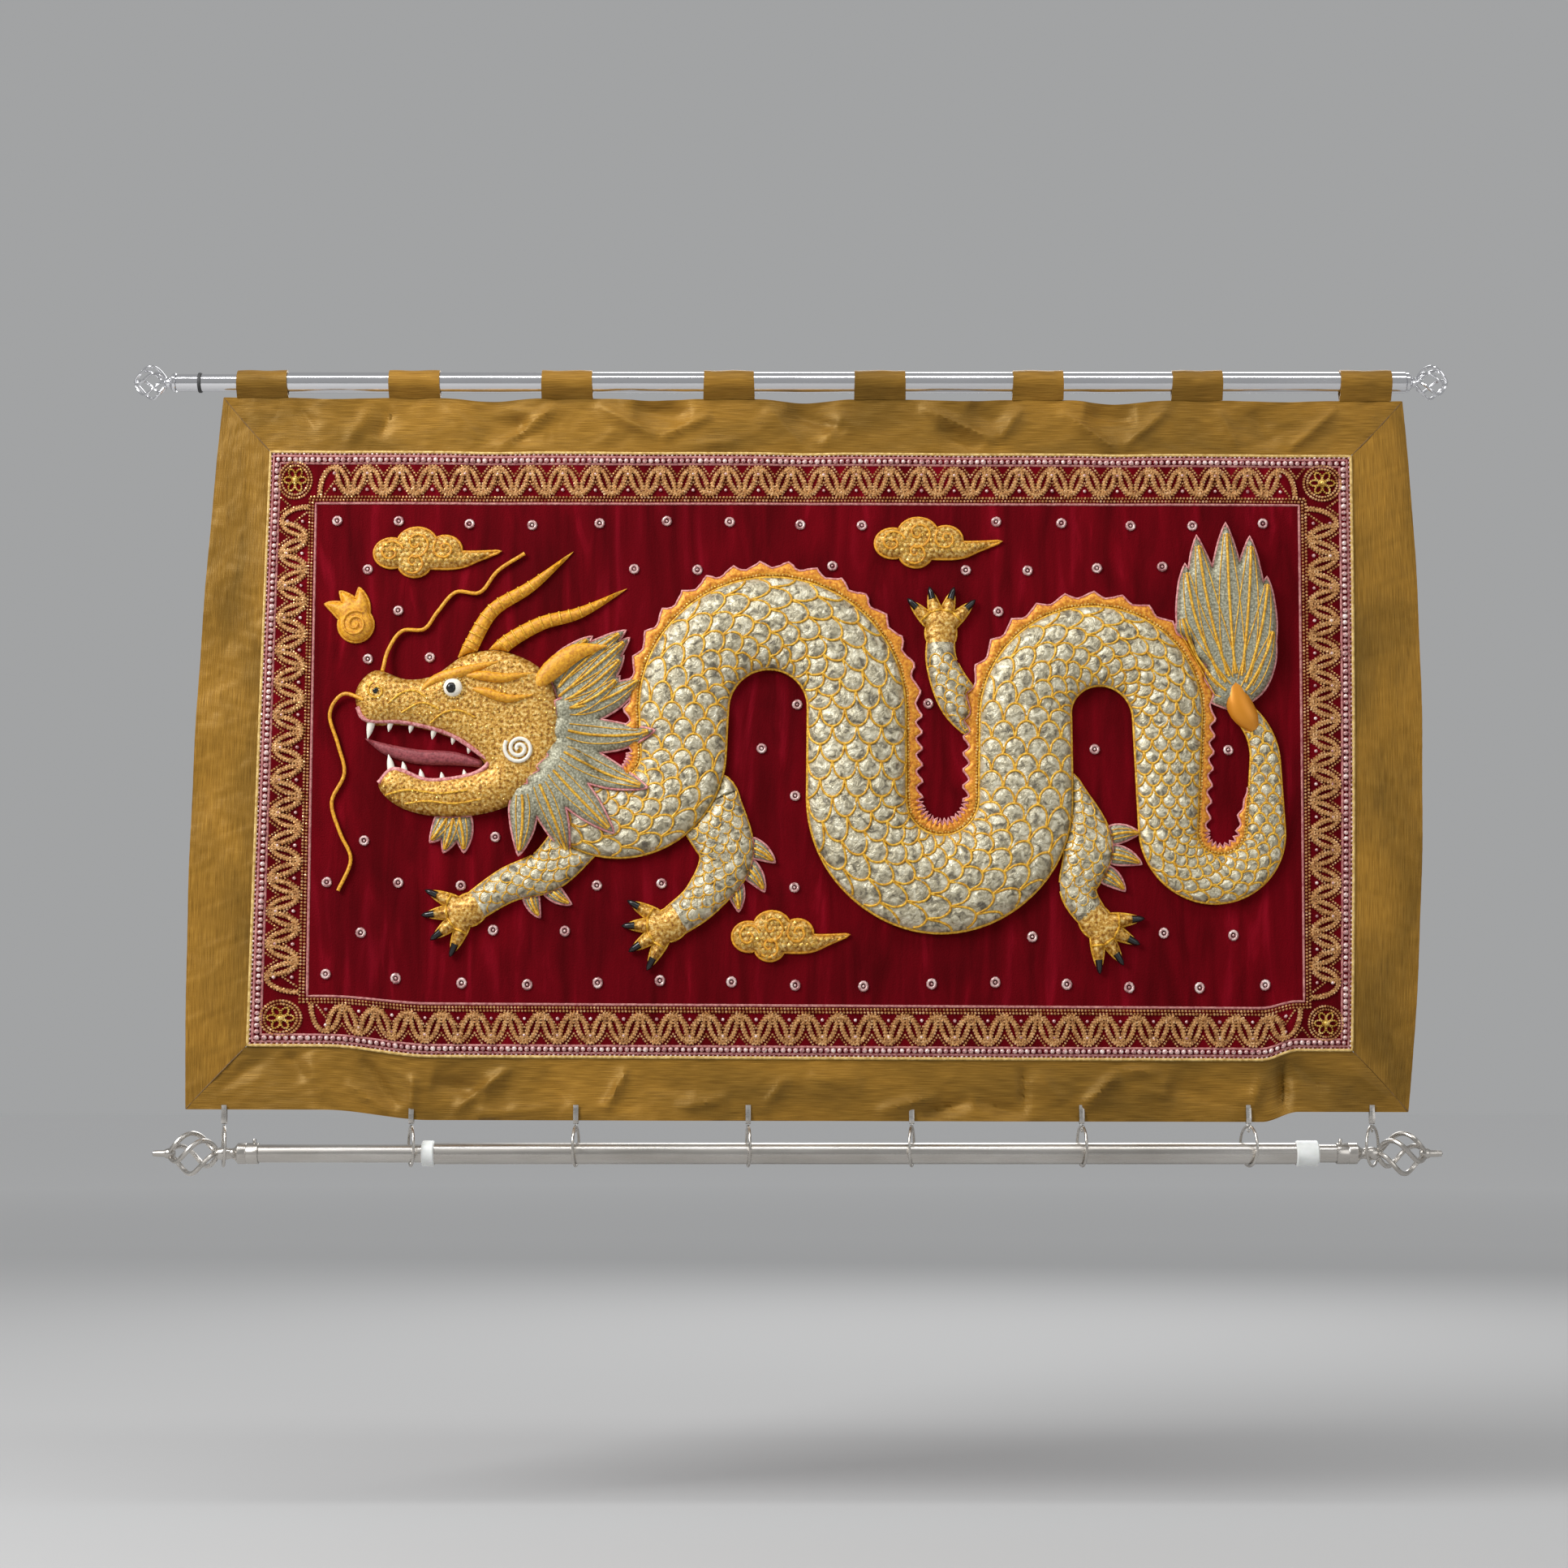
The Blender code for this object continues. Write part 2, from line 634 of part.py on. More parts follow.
def filled(include, exclude, spacing):
    """Points, triangles and edge distances of the union of some outlines less some others."""
    outlines = [*include, *exclude]
    points = np.concatenate(outlines)
    counts = np.cumsum([0] + [len(outline) for outline in outlines])
    loops = [list(range(start, end)) for start, end in zip(counts, counts[1:])]
    starts = points
    ends = np.concatenate([np.roll(outline, -1, axis=0) for outline in outlines])
    low, high = np.concatenate(include).min(axis=0), np.concatenate(include).max(axis=0)
    rows = np.arange(low[1], high[1], spacing * 0.87)
    inner = [
        (a + (number % 2) * spacing / 2, b)
        for number, b in enumerate(rows)
        for a in np.arange(low[0], high[0], spacing)
    ]
    inner = np.array(inner)
    inner = inner[edge_distance(inner, starts, ends) > spacing * 0.55]
    every = [Vector(point) for point in np.concatenate([points, inner])]
    spots, _, faces, _, _, sources = delaunay_2d_cdt(every, [], loops, 1, 1e-5, True)
    kept = [
        list(face)
        for face, source in zip(faces, sources)
        if source and min(source) < len(include) and max(source) < len(include)
    ]
    kept = largest_island(kept)
    used = sorted({corner for face in kept for corner in face})
    index = {corner: number for number, corner in enumerate(used)}
    spots = np.array([spots[corner][:] for corner in used])
    kept = [[index[corner] for corner in face] for face in kept]
    directed = {(face[i - 1], face[i]) for face in kept for i in range(3)}
    rim = [(start, end) for start, end in directed if (end, start) not in directed]
    distance = edge_distance(spots, spots[[start for start, _ in rim]], spots[[end for _, end in rim]])
    return spots, kept, distance


def puff(name, include, exclude, height, radius, material, spacing=FILL_SPACING):
    """A padded piece: the outlines' area, domed over radius from its edge up to height."""
    spots, faces, distance = filled(include, exclude, spacing)
    share = np.clip(distance / radius, 0, 1)
    dome = height * np.sqrt(1 - (1 - share) ** 2)
    base = VELVET_THICK / 2 + LINING
    p, q = spots[:, 0], FIELD_MIDDLE - spots[:, 1]
    faces = [face[::-1] for face in faces]
    return layered(name, hang(p, q, base + RIM + dome), hang(p, q, base), faces, material)


def body_path(step):
    """Points and half-widths (a, b, half-width) evenly spaced down the middle of the body."""
    rows = []
    for _, a, b, radius, first, last, start_half, end_half in BODY_ARCS:
        for share in np.linspace(0, 1, 25):
            turn = math.radians(first + (last - first) * share)
            half = start_half + (end_half - start_half) * share
            rows.append((a + radius * math.cos(turn), b + radius * math.sin(turn), half))
    rows = np.array(rows)
    run = np.concatenate([[0], np.cumsum(np.linalg.norm(np.diff(rows[:, :2], axis=0), axis=1))])
    stations = np.linspace(0, run[-1], round(run[-1] / step) + 1)
    return np.stack([np.interp(stations, run, column) for column in rows.T], axis=1)


def add_body(cloth):
    """The beast's padded body: one long stuffed band, fullest in the middle."""
    path = body_path(BODY_STEP)
    side = sides_of(path)
    across = np.array(BODY_ACROSS)
    a = path[:, :1] + side[:, :1] * path[:, 2:3] * across
    b = path[:, 1:2] + side[:, 1:] * path[:, 2:3] * across
    dome = BODY_PUFF * path[:, 2:3] * np.sqrt(np.clip(1 - across**2, 0, 1))
    base = VELVET_THICK / 2 + LINING
    front = hang(a, FIELD_MIDDLE - b, base + RIM + dome)
    back = hang(a, FIELD_MIDDLE - b, base)
    layered("beast_body", front, back, grid_faces(*a.shape), cloth)


def crest_grid():
    """Points (a, b) of the toothed band along the upper edge of the body, in rows of three."""
    path = body_path(BODY_STEP)
    kept = slice(CREST_FIRST, CREST_LAST)
    path, side = path[kept], sides_of(path)[kept]
    inner = path[:, :2] + side * (path[:, 2:3] + CLEAR)
    taper = np.sqrt(path[:, 2:3] / BODY_ARCS[1][-1])
    tooth = np.where(np.arange(len(path)) % 2, CREST_TOOTH, 0.0)[:, None]
    middle = inner + side * CREST_WIDTH / 2 * taper
    outer = inner + side * (CREST_WIDTH + tooth) * taper
    return np.stack([outer, middle, inner], axis=1)


def paw(a, b, heading):
    """Outlines of a foot: a pad, four toes fanned round its heading, and a spur behind."""
    found = [blob(a, b, 0.0165, 0.0140, heading, 10)]
    for spread in (-48, -18, 12, 42):
        turn = math.radians(heading + spread)
        toe = []
        for reach, half in ((0.006, 0.0060), (0.020, 0.0058), (0.032, 0.0036), (0.040, 0.0004)):
            toe.append((a + reach * math.cos(turn), b + reach * math.sin(turn), half))
        found.append(band(toe, 1, pointed=True))
    return found


def cloud(a, b, wide):
    """Outlines of a cloud: a row of lobes over a long pointed tail."""
    lobes = (
        # along, up, radius, as shares of the width
        (-0.30, 0.00, 0.14),
        (-0.10, 0.07, 0.16),
        (0.12, 0.03, 0.13),
        (-0.12, -0.08, 0.13),
    )
    found = [blob(a + x * wide, b + y * wide, r * wide, r * wide * 0.85, 0, 12) for x, y, r in lobes]
    tail = ((-0.1, -0.03, 0.09), (0.2, -0.05, 0.07), (0.38, -0.02, 0.035), (0.56, 0.02, 0.004))
    found.append(band([(a + x * wide, b + y * wide, r * wide) for x, y, r in tail], 1, pointed=True))
    return found


HEAD_UPPER = (
    # a, b round the skull and upper jaw, from the nape over the brow to the snout and back
    (-0.232, 0.062),
    (-0.270, 0.087),
    (-0.307, 0.085),
    (-0.336, 0.066),
    (-0.362, 0.062),
    (-0.390, 0.070),
    (-0.407, 0.050),
    (-0.397, 0.022),
    (-0.362, 0.020),
    (-0.323, 0.010),
    (-0.295, -0.008),
    (-0.275, -0.038),
    (-0.240, -0.038),
    (-0.220, 0.000),
)
HEAD_LOWER = (
    # a, b round the lower jaw, from the hinge along the teeth to the chin and back
    (-0.267, -0.011),
    (-0.302, -0.023),
    (-0.340, -0.028),
    (-0.372, -0.018),
    (-0.385, -0.036),
    (-0.362, -0.056),
    (-0.320, -0.063),
    (-0.277, -0.056),
    (-0.250, -0.038),
)
HORNS = (
    # rows of a, b, half-width from the brow to the point
    (
        (-0.270, 0.097, 0.0070),
        (-0.240, 0.114, 0.0062),
        (-0.205, 0.124, 0.0050),
        (-0.163, 0.146, 0.0005),
    ),
    (
        (-0.302, 0.096, 0.0070),
        (-0.284, 0.126, 0.0062),
        (-0.250, 0.148, 0.0050),
        (-0.212, 0.180, 0.0005),
    ),
)
MANE_LOCKS = (
    # heading, length, half-width, bow in degrees
    (74, 0.082, 0.014, -18),
    (54, 0.106, 0.015, -10),
    (36, 0.104, 0.015, 4),
    (16, 0.090, 0.015, 18),
    (-6, 0.078, 0.015, 30),
)
MANE_ROOT = (-0.240, 0.034)
BEARD_LOCKS = (
    (-62, 0.044, 0.010, -16),
    (-88, 0.044, 0.010, -14),
    (-112, 0.040, 0.010, -10),
)
BEARD_ROOT = (-0.317, -0.052)
PLUME_LOCKS = (
    (146, 0.096, 0.018, -24),
    (128, 0.134, 0.020, -18),
    (112, 0.156, 0.021, -9),
    (96, 0.164, 0.021, -3),
    (81, 0.152, 0.020, 4),
    (66, 0.118, 0.018, 10),
    (50, 0.076, 0.014, 14),
)
PLUME_ROOT = (0.388, 0.044)
LEGS = (
    # name, spine rows of a, b, half-width from the body to the wrist, paw heading in degrees
    (
        "fore_far",
        (
            (-0.204, -0.080, 0.022),
            (-0.232, -0.110, 0.019),
            (-0.268, -0.124, 0.015),
            (-0.302, -0.146, 0.012),
        ),
        205,
    ),
    (
        "fore_near",
        (
            (-0.090, -0.050, 0.030),
            (-0.072, -0.096, 0.024),
            (-0.092, -0.134, 0.017),
            (-0.122, -0.158, 0.013),
        ),
        200,
    ),
    (
        "hind_near",
        (
            (0.222, -0.045, 0.029),
            (0.252, -0.086, 0.023),
            (0.244, -0.126, 0.016),
            (0.260, -0.154, 0.012),
        ),
        -38,
    ),
    (
        "hind_far",
        (
            (0.166, 0.020, 0.020),
            (0.138, 0.044, 0.018),
            (0.122, 0.078, 0.0135),
            (0.121, 0.106, 0.0115),
        ),
        92,
    ),
)
CLOUDS = (
    # name, a, b, width
    ("high_left", -0.342, 0.178, 0.115),
    ("high_middle", 0.112, 0.188, 0.115),
    ("low", -0.020, -0.168, 0.105),
)
PEARL = (-0.408, 0.112, 0.016)


def add_beast(scale, gold, silver, yellow, white):
    """The padded figure: a long-bodied horned beast, its clouds and its flaming pearl."""
    add_body(scale)
    path = body_path(BODY_STEP)
    side = sides_of(path)
    left, right = path[:, :2] + side * path[:, 2:3], path[:, :2] - side * path[:, 2:3]
    body = [grown(np.concatenate([right, left[::-1]]), CLEAR)]
    grid = crest_grid()
    crest = [np.concatenate([grid[:, 2], grid[::-1, 0]])]
    head = [closed_curve(HEAD_UPPER), closed_curve(HEAD_LOWER)]
    horns = [band(rows, 2, pointed=True) for rows in HORNS]
    spaced = {
        name: [grown(outline, CLEAR) for outline in outlines]
        for name, outlines in (("crest", crest), ("head", head), ("horns", horns))
    }
    base = VELVET_THICK / 2 + LINING
    p, q = grid[:, :, 0], FIELD_MIDDLE - grid[:, :, 1]
    dome = np.array([0.0, CREST_PUFF, 0.4 * CREST_PUFF])
    front, back = hang(p, q, base + RIM + dome), hang(p, q, base)
    layered("beast_crest", front, back, grid_faces(len(grid), 3), gold)
    puff("beast_head", head, body, 0.0130, 0.020, gold, spacing=0.010)
    for number, horn in enumerate(horns, 1):
        puff(f"beast_horn_{number}", [horn], spaced["head"], 0.0045, 0.005, yellow, spacing=0.006)
    mane = [lock(MANE_ROOT, *row) for row in MANE_LOCKS]
    behind = body + spaced["head"] + spaced["horns"] + spaced["crest"]
    puff("beast_mane", mane, behind, 0.0070, 0.010, silver)
    beard = [lock(BEARD_ROOT, *row) for row in BEARD_LOCKS]
    puff("beast_beard", beard, body + spaced["head"], 0.0050, 0.007, silver)
    plume = [lock(PLUME_ROOT, *row) for row in PLUME_LOCKS]
    puff("beast_plume", plume, body + spaced["crest"], 0.0080, 0.011, silver)
    for name, rows, heading in LEGS:
        leg = [band(rows, 3), *paw(rows[-1][0], rows[-1][1], heading)]
        puff(f"beast_leg_{name}", leg, body + spaced["crest"], 0.0100, 0.014, white, spacing=0.011)
    for name, a, b, wide in CLOUDS:
        puff(f"cloud_{name}", cloud(a, b, wide), [], 0.0055, 0.010, gold)
    a, b, radius = PEARL
    pearl = [blob(a, b, radius, radius)]
    pearl += [lock((a, b), heading, 0.034, 0.008, 24) for heading in (62, 92, 122)]
    puff("pearl", pearl, [], 0.0060, 0.009, yellow, spacing=0.008)


def main():
    clear_scene()
    velvet = paint("crimson velvet", (0.24, 0.005, 0.018), 0.75)
    silk = paint("ochre silk", (0.34, 0.20, 0.045), 0.50)
    chrome = paint("polished chrome", (0.80, 0.80, 0.82), 0.12, 1.0)
    nickel = paint("satin nickel", (0.66, 0.63, 0.58), 0.30, 1.0)
    dark = paint("dark rubber", (0.05, 0.05, 0.05), 0.60)
    white = paint("white sleeve", (0.85, 0.85, 0.83), 0.45)
    scale = paint("silver padded cloth", (0.62, 0.60, 0.52), 0.45)
    gold = paint("couched gold", (0.62, 0.42, 0.12), 0.45)
    silver = paint("silver thread", (0.42, 0.41, 0.34), 0.50)
    yellow = paint("yellow silk cord", (0.80, 0.50, 0.04), 0.50)
    cloth_pieces(velvet, silk)
    add_tabs(silk)
    add_upper_rod(chrome, dark)
    add_lower_rod(nickel, white)
    drop_patterns()
    add_rings(nickel)
    add_beast(scale, gold, silver, yellow, scale)


main()
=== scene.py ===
"""Wall hanging of padded metallic applique on velvet, with a silk surround, on its two rods.

Metres, +Z up, front facing -Y, in the frame's own axes. Cloth is laid out flat, p across from the
middle and q down from the top edge. What is sewn to the velvet is laid out as a across, b up from
the middle of the field, and its lift off the middle of the cloth.
"""

import math

import bmesh
import bpy
import numpy as np
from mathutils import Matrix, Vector
from mathutils.geometry import delaunay_2d_cdt


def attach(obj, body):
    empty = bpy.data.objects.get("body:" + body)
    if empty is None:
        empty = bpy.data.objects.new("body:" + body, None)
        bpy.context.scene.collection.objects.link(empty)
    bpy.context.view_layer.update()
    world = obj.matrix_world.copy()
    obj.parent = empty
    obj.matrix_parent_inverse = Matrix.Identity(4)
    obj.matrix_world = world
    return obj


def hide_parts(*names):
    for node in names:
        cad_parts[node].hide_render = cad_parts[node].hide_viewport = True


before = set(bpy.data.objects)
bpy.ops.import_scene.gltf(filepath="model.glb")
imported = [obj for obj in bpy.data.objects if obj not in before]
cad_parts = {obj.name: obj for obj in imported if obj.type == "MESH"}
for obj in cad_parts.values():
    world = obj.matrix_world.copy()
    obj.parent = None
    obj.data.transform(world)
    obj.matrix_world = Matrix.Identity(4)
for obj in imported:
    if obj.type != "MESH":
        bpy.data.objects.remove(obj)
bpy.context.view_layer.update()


# Velvet panel: crimson cotton velvet, cut in one piece and backed with plain cotton. It hangs from
# the surround, bellies out a little in the middle, and its pile is crushed in upright streaks, their
# sheen painted into its colour as lighter and darker streaks.
CLOTH_WIDTH, CLOTH_HEIGHT = 1.096, 0.647
VELVET_HALF_WIDTH, VELVET_TOP, VELVET_BOTTOM = 0.4915, 0.051, 0.590
FIELD_MIDDLE, FIELD_HALF_WIDTH, FIELD_HALF_HEIGHT = 0.3205, 0.4445, 0.2225
VELVET_THICK, SEAM_GAP = 0.0024, 0.0004

UPRIGHT_LINES = (
    # flat p, x at the top edge, at mid-height, at the hem
    (-0.548, -0.525, -0.545, -0.546), (-0.4915, -0.480, -0.487, -0.493),
    (-0.4445, -0.437, -0.437, -0.437), (0.4445, 0.452, 0.450, 0.447), (0.4915, 0.502, 0.499, 0.490),
    (0.548, 0.550, 0.561, 0.541),
)
LEVEL_LINES = (
    # flat q, z at the left edge, in the middle, at the right edge
    (0.000, -0.0138, -0.0156, -0.0174), (0.051, -0.0640, -0.0663, -0.0686),
    (0.098, -0.1140, -0.1150, -0.1160), (0.543, -0.5560, -0.5590, -0.5620),
    (0.590, -0.6020, -0.6050, -0.6070), (0.647, -0.6590, -0.6603, -0.6615),
)
HEM_SAG, SAG_STARTS, SAG_ENDS = 0.0090, 0.450, 0.600
LEFT_STEP, RIGHT_STEP = (-0.430, -0.335), (0.408, 0.440)
TAB_MIDDLES = (-0.503, -0.358, -0.219, -0.0715, 0.066, 0.210, 0.355, 0.508)
TAB_BAY_SWELLS = (0.0060, -0.0035, 0.0065, -0.0045, 0.0060, -0.0035, 0.0055)
TAB_FLAT, TAB_SAG, TOP_FADE = 0.025, 0.0025, 0.035
RINGS = (
    # flat p of the clip, how far its ring is turned in degrees
    (-0.511, 14), (-0.352, 14), (-0.205, -5), (-0.051, 6), (0.095, -9), (0.247, 8), (0.396, 16),
    (0.512, -28),
)
CLIP_BAY_SWELLS = (0.0050, -0.0040, 0.0055, -0.0035, 0.0050, -0.0045, 0.0040)
CLIP_FLAT, BOTTOM_FADE = 0.006, 0.032
BELLY, WAVE, WAVE_LENGTH = 0.0035, 0.0012, 0.36
SIDE_WAVE, SIDE_WAVE_LENGTH = 0.0014, 0.13
PILE_STEP = 0.007


def ease(value, start, end):
    """Smooth step from 0 at start to 1 at end."""
    share = np.clip((value - start) / (end - start), 0, 1)
    return share * share * (3 - 2 * share)


def between_lines(lines, flat, along):
    """Where flat falls between seam lines, each bowed through its three values at the share along."""
    lines = np.array(lines)
    stations, first, middle, last = lines.T
    places = np.outer(first, 1 - along) + np.outer(last, along)
    places += np.outer(middle - (first + last) / 2, 4 * along * (1 - along))
    after = np.clip(np.searchsorted(stations, flat), 1, len(lines) - 1)
    share = (flat - stations[after - 1]) / (stations[after] - stations[after - 1])
    index = np.arange(len(flat))
    return places[after - 1, index] * (1 - share) + places[after, index] * share


def bays(p, stops, flat, swells):
    """Swell between fixed stops: nothing within flat of a stop, and each bay's own in its middle."""
    height = np.zeros_like(p)
    for left, right, swell in zip(stops, stops[1:], swells):
        share = np.clip((p - left - flat) / (right - left - 2 * flat), 0, 1)
        height += swell * np.sin(math.pi * share) ** 2
    return height


def relief(p, q):
    """How far the cloth stands forward of the plane under the rod."""
    top = bays(p, TAB_MIDDLES, TAB_FLAT, TAB_BAY_SWELLS) * np.exp(-q / TOP_FADE)
    clips = [ring[0] for ring in RINGS]
    bottom = bays(p, clips, CLIP_FLAT, CLIP_BAY_SWELLS) * np.exp((q - CLOTH_HEIGHT) / BOTTOM_FADE)
    down = np.sin(math.pi * np.clip(q / CLOTH_HEIGHT, 0, 1))
    belly = BELLY * np.cos(math.pi * p / CLOTH_WIDTH) * down
    wave = WAVE * np.cos(math.tau * p / WAVE_LENGTH + 0.6) * down
    side = ease(np.abs(p), 0.48, 0.54) * down * SIDE_WAVE * np.sin(math.tau * q / SIDE_WAVE_LENGTH + p)
    return top + bottom + belly + wave + side


def hang(p, q, lift):
    """World points of flat points, lifted forward off the middle of the cloth."""
    p, q, lift = (np.array(part, float).ravel() for part in np.broadcast_arrays(p, q, lift))
    x = between_lines(UPRIGHT_LINES, p, q / CLOTH_HEIGHT)
    z = between_lines(LEVEL_LINES, q, p / CLOTH_WIDTH + 0.5)
    sag = HEM_SAG * ease(p, *LEFT_STEP) * (1 - ease(p, *RIGHT_STEP))
    z -= sag * ease(q, SAG_STARTS, SAG_ENDS)
    hollow = bays(p, TAB_MIDDLES, TAB_FLAT, [TAB_SAG] * len(TAB_BAY_SWELLS))
    z -= hollow * np.exp(-q / TOP_FADE)
    return np.stack([x, -relief(p, q) - lift, z], axis=1)


def new_finish(name, colour, roughness, metallic=0.0, **settings):
    """A material and its node tree, with constants set on the shader's own sockets."""
    finish = bpy.data.materials.new(name)
    finish.use_nodes = True
    finish.diffuse_color = (*colour, 1.0)
    shader = finish.node_tree.nodes["Principled BSDF"]
    shader.inputs["Base Color"].default_value = (*colour, 1.0)
    shader.inputs["Roughness"].default_value = roughness
    shader.inputs["Metallic"].default_value = metallic
    for socket, value in settings.items():
        shader.inputs[socket.replace("_", " ")].default_value = value
    return finish


def grain(finish, source, stretch, detail=3.0, distortion=0.0):
    """Noise in a piece's own Object or UV coordinates, with so many features a metre each way."""
    tree = finish.node_tree
    place = tree.nodes.new("ShaderNodeTexCoord")
    mapping = tree.nodes.new("ShaderNodeMapping")
    mapping.inputs["Scale"].default_value = stretch
    noise = tree.nodes.new("ShaderNodeTexNoise")
    noise.inputs["Scale"].default_value = 1.0
    noise.inputs["Detail"].default_value = detail
    noise.inputs["Distortion"].default_value = distortion
    tree.links.new(place.outputs[source], mapping.inputs["Vector"])
    tree.links.new(mapping.outputs["Vector"], noise.inputs["Vector"])
    return noise.outputs["Fac"]


def graded(finish, factor, stops, socket="Base Color"):
    """Colours a shader's socket through a ramp of (place, colour) stops."""
    tree = finish.node_tree
    ramp = tree.nodes.new("ShaderNodeValToRGB")
    while len(ramp.color_ramp.elements) < len(stops):
        ramp.color_ramp.elements.new(0.5)
    for element, (place, colour) in zip(ramp.color_ramp.elements, stops):
        element.position = place
        element.color = (*colour, 1.0)
    tree.links.new(factor, ramp.inputs["Fac"])
    if socket:
        tree.links.new(ramp.outputs["Color"], tree.nodes["Principled BSDF"].inputs[socket])
    return ramp.outputs["Color"]


def blended(finish, factor, first, second, mode="MIX"):
    """Two colours mixed by a factor, ready to link on."""
    tree = finish.node_tree
    mix = tree.nodes.new("ShaderNodeMix")
    mix.data_type = "RGBA"
    mix.blend_type = mode
    if isinstance(factor, float):
        mix.inputs[0].default_value = factor
    else:
        tree.links.new(factor, mix.inputs[0])
    tree.links.new(first, mix.inputs[6])
    tree.links.new(second, mix.inputs[7])
    return mix.outputs[2]


def coloured(finish, colour):
    """Links a colour to the shader."""
    tree = finish.node_tree
    tree.links.new(colour, tree.nodes["Principled BSDF"].inputs["Base Color"])


def raised(finish, factor, height):
    """Bumps the surface by a factor, on top of any bump that it already has."""
    tree = finish.node_tree
    shader = tree.nodes["Principled BSDF"]
    bump = tree.nodes.new("ShaderNodeBump")
    bump.inputs["Strength"].default_value = 1.0
    bump.inputs["Distance"].default_value = height
    for link in list(shader.inputs["Normal"].links):
        tree.links.new(link.from_socket, bump.inputs["Normal"])
    tree.links.new(factor, bump.inputs["Height"])
    tree.links.new(bump.outputs["Normal"], shader.inputs["Normal"])


def grid_faces(rows, columns):
    """Quads over a grid of points that is stored row by row."""
    corners = (np.arange(rows - 1)[:, None] * columns + np.arange(columns - 1)).ravel()
    return np.stack([corners, corners + columns, corners + columns + 1, corners + 1], axis=1).tolist()


def make_piece(name, points, faces, finishes, slot, node=None, flat=None, crease=60):
    """A piece that rides with the hanging, its faces turned out, in place of a node if one is named."""
    mesh = bpy.data.meshes.new(name)
    mesh.from_pydata(np.asarray(points, float).tolist(), [], faces)
    shell = bmesh.new()
    shell.from_mesh(mesh)
    bmesh.ops.recalc_face_normals(shell, faces=shell.faces)
    if shell.calc_volume(signed=True) < 0:
        bmesh.ops.reverse_faces(shell, faces=shell.faces)
    shell.to_mesh(mesh)
    shell.free()
    mesh.shade_smooth()
    mesh.set_sharp_from_angle(angle=math.radians(crease))
    if flat is not None:
        corners = np.zeros(len(mesh.loops), int)
        mesh.loops.foreach_get("vertex_index", corners)
        layer = mesh.uv_layers.new(name="flat")
        layer.data.foreach_set("uv", np.asarray(flat, float)[corners].ravel())
    for finish in finishes:
        mesh.materials.append(finish)
    piece = bpy.data.objects.new(name, mesh)
    bpy.context.scene.collection.objects.link(piece)
    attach(piece, "root")
    if node:
        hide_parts(node)
    return piece


def layered(front, back, faces):
    """Points and faces of the closed shell between two like layers of points."""
    count = len(front)
    directed = {(face[i - 1], face[i]) for face in faces for i in range(len(face))}
    rim = sorted(edge for edge in directed if edge[::-1] not in directed)
    walls = [[end, start, count + start, count + end] for start, end in rim]
    backs = [[count + corner for corner in face[::-1]] for face in faces]
    return np.concatenate([front, back]), [*faces, *backs, *walls]


velvet = new_finish(
    "crimson velvet", (0.11, 0.0004, 0.006), 0.85, Sheen_Weight=0.22, Sheen_Roughness=0.30,
    Sheen_Tint=(0.90, 0.05, 0.08, 1.0), Specular_IOR_Level=0.05,
)
# Painted sheen: lighter and darker upright streaks in the colour stand in for the crushed pile's sheen.
painted_sheen_streaks = graded(
    velvet,
    grain(velvet, "UV", (52, 9.0, 1), 6.0, 0.7),
    ((0.34, (0.075, 0.0003, 0.002)), (0.58, (0.125, 0.0006, 0.004)), (0.78, (0.23, 0.003, 0.012))),
)
patches = graded(
    velvet,
    grain(velvet, "UV", (10, 7, 1), 4.0, 0.8),
    ((0.35, (0.80, 0.80, 0.80)), (0.70, (1.15, 1.10, 1.10))),
    None,
)
coloured(velvet, blended(velvet, 1.0, painted_sheen_streaks, patches, "MULTIPLY"))
raised(velvet, grain(velvet, "UV", (900, 700, 1), 2.0), 0.0006)
raised(velvet, grain(velvet, "UV", (46, 9, 1), 4.0, 0.8), 0.0022)

backing = new_finish("plain cotton backing", (0.20, 0.035, 0.03), 0.9)
graded(
    backing,
    grain(backing, "UV", (300, 14, 1), 3.0),
    ((0.3, (0.15, 0.022, 0.02)), (0.7, (0.26, 0.05, 0.04))),
)
raised(backing, grain(backing, "UV", (1500, 1500, 1), 1.0), 0.0004)

panel_height = VELVET_BOTTOM - VELVET_TOP
across = np.linspace(-1, 1, round(2 * VELVET_HALF_WIDTH / PILE_STEP)) * (VELVET_HALF_WIDTH - SEAM_GAP / 2)
down = VELVET_TOP + SEAM_GAP / 2 + np.linspace(0, 1, round(panel_height / PILE_STEP)) * (
    panel_height - SEAM_GAP
)
panel_p, panel_q = np.meshgrid(across, down)
points, faces = layered(
    hang(panel_p, panel_q, VELVET_THICK / 2),
    hang(panel_p, panel_q, -VELVET_THICK / 2),
    grid_faces(*panel_p.shape),
)
flat_places = np.tile(np.stack([panel_p.ravel(), -panel_q.ravel()], axis=1), (2, 1))
velvet_panel = make_piece(
    "velvet_ground", points, faces, [velvet, backing], "velvet", "velvet_panel", flat_places,
)
for face in velvet_panel.data.polygons:
    face.material_index = int(face.normal.y > 0.5)


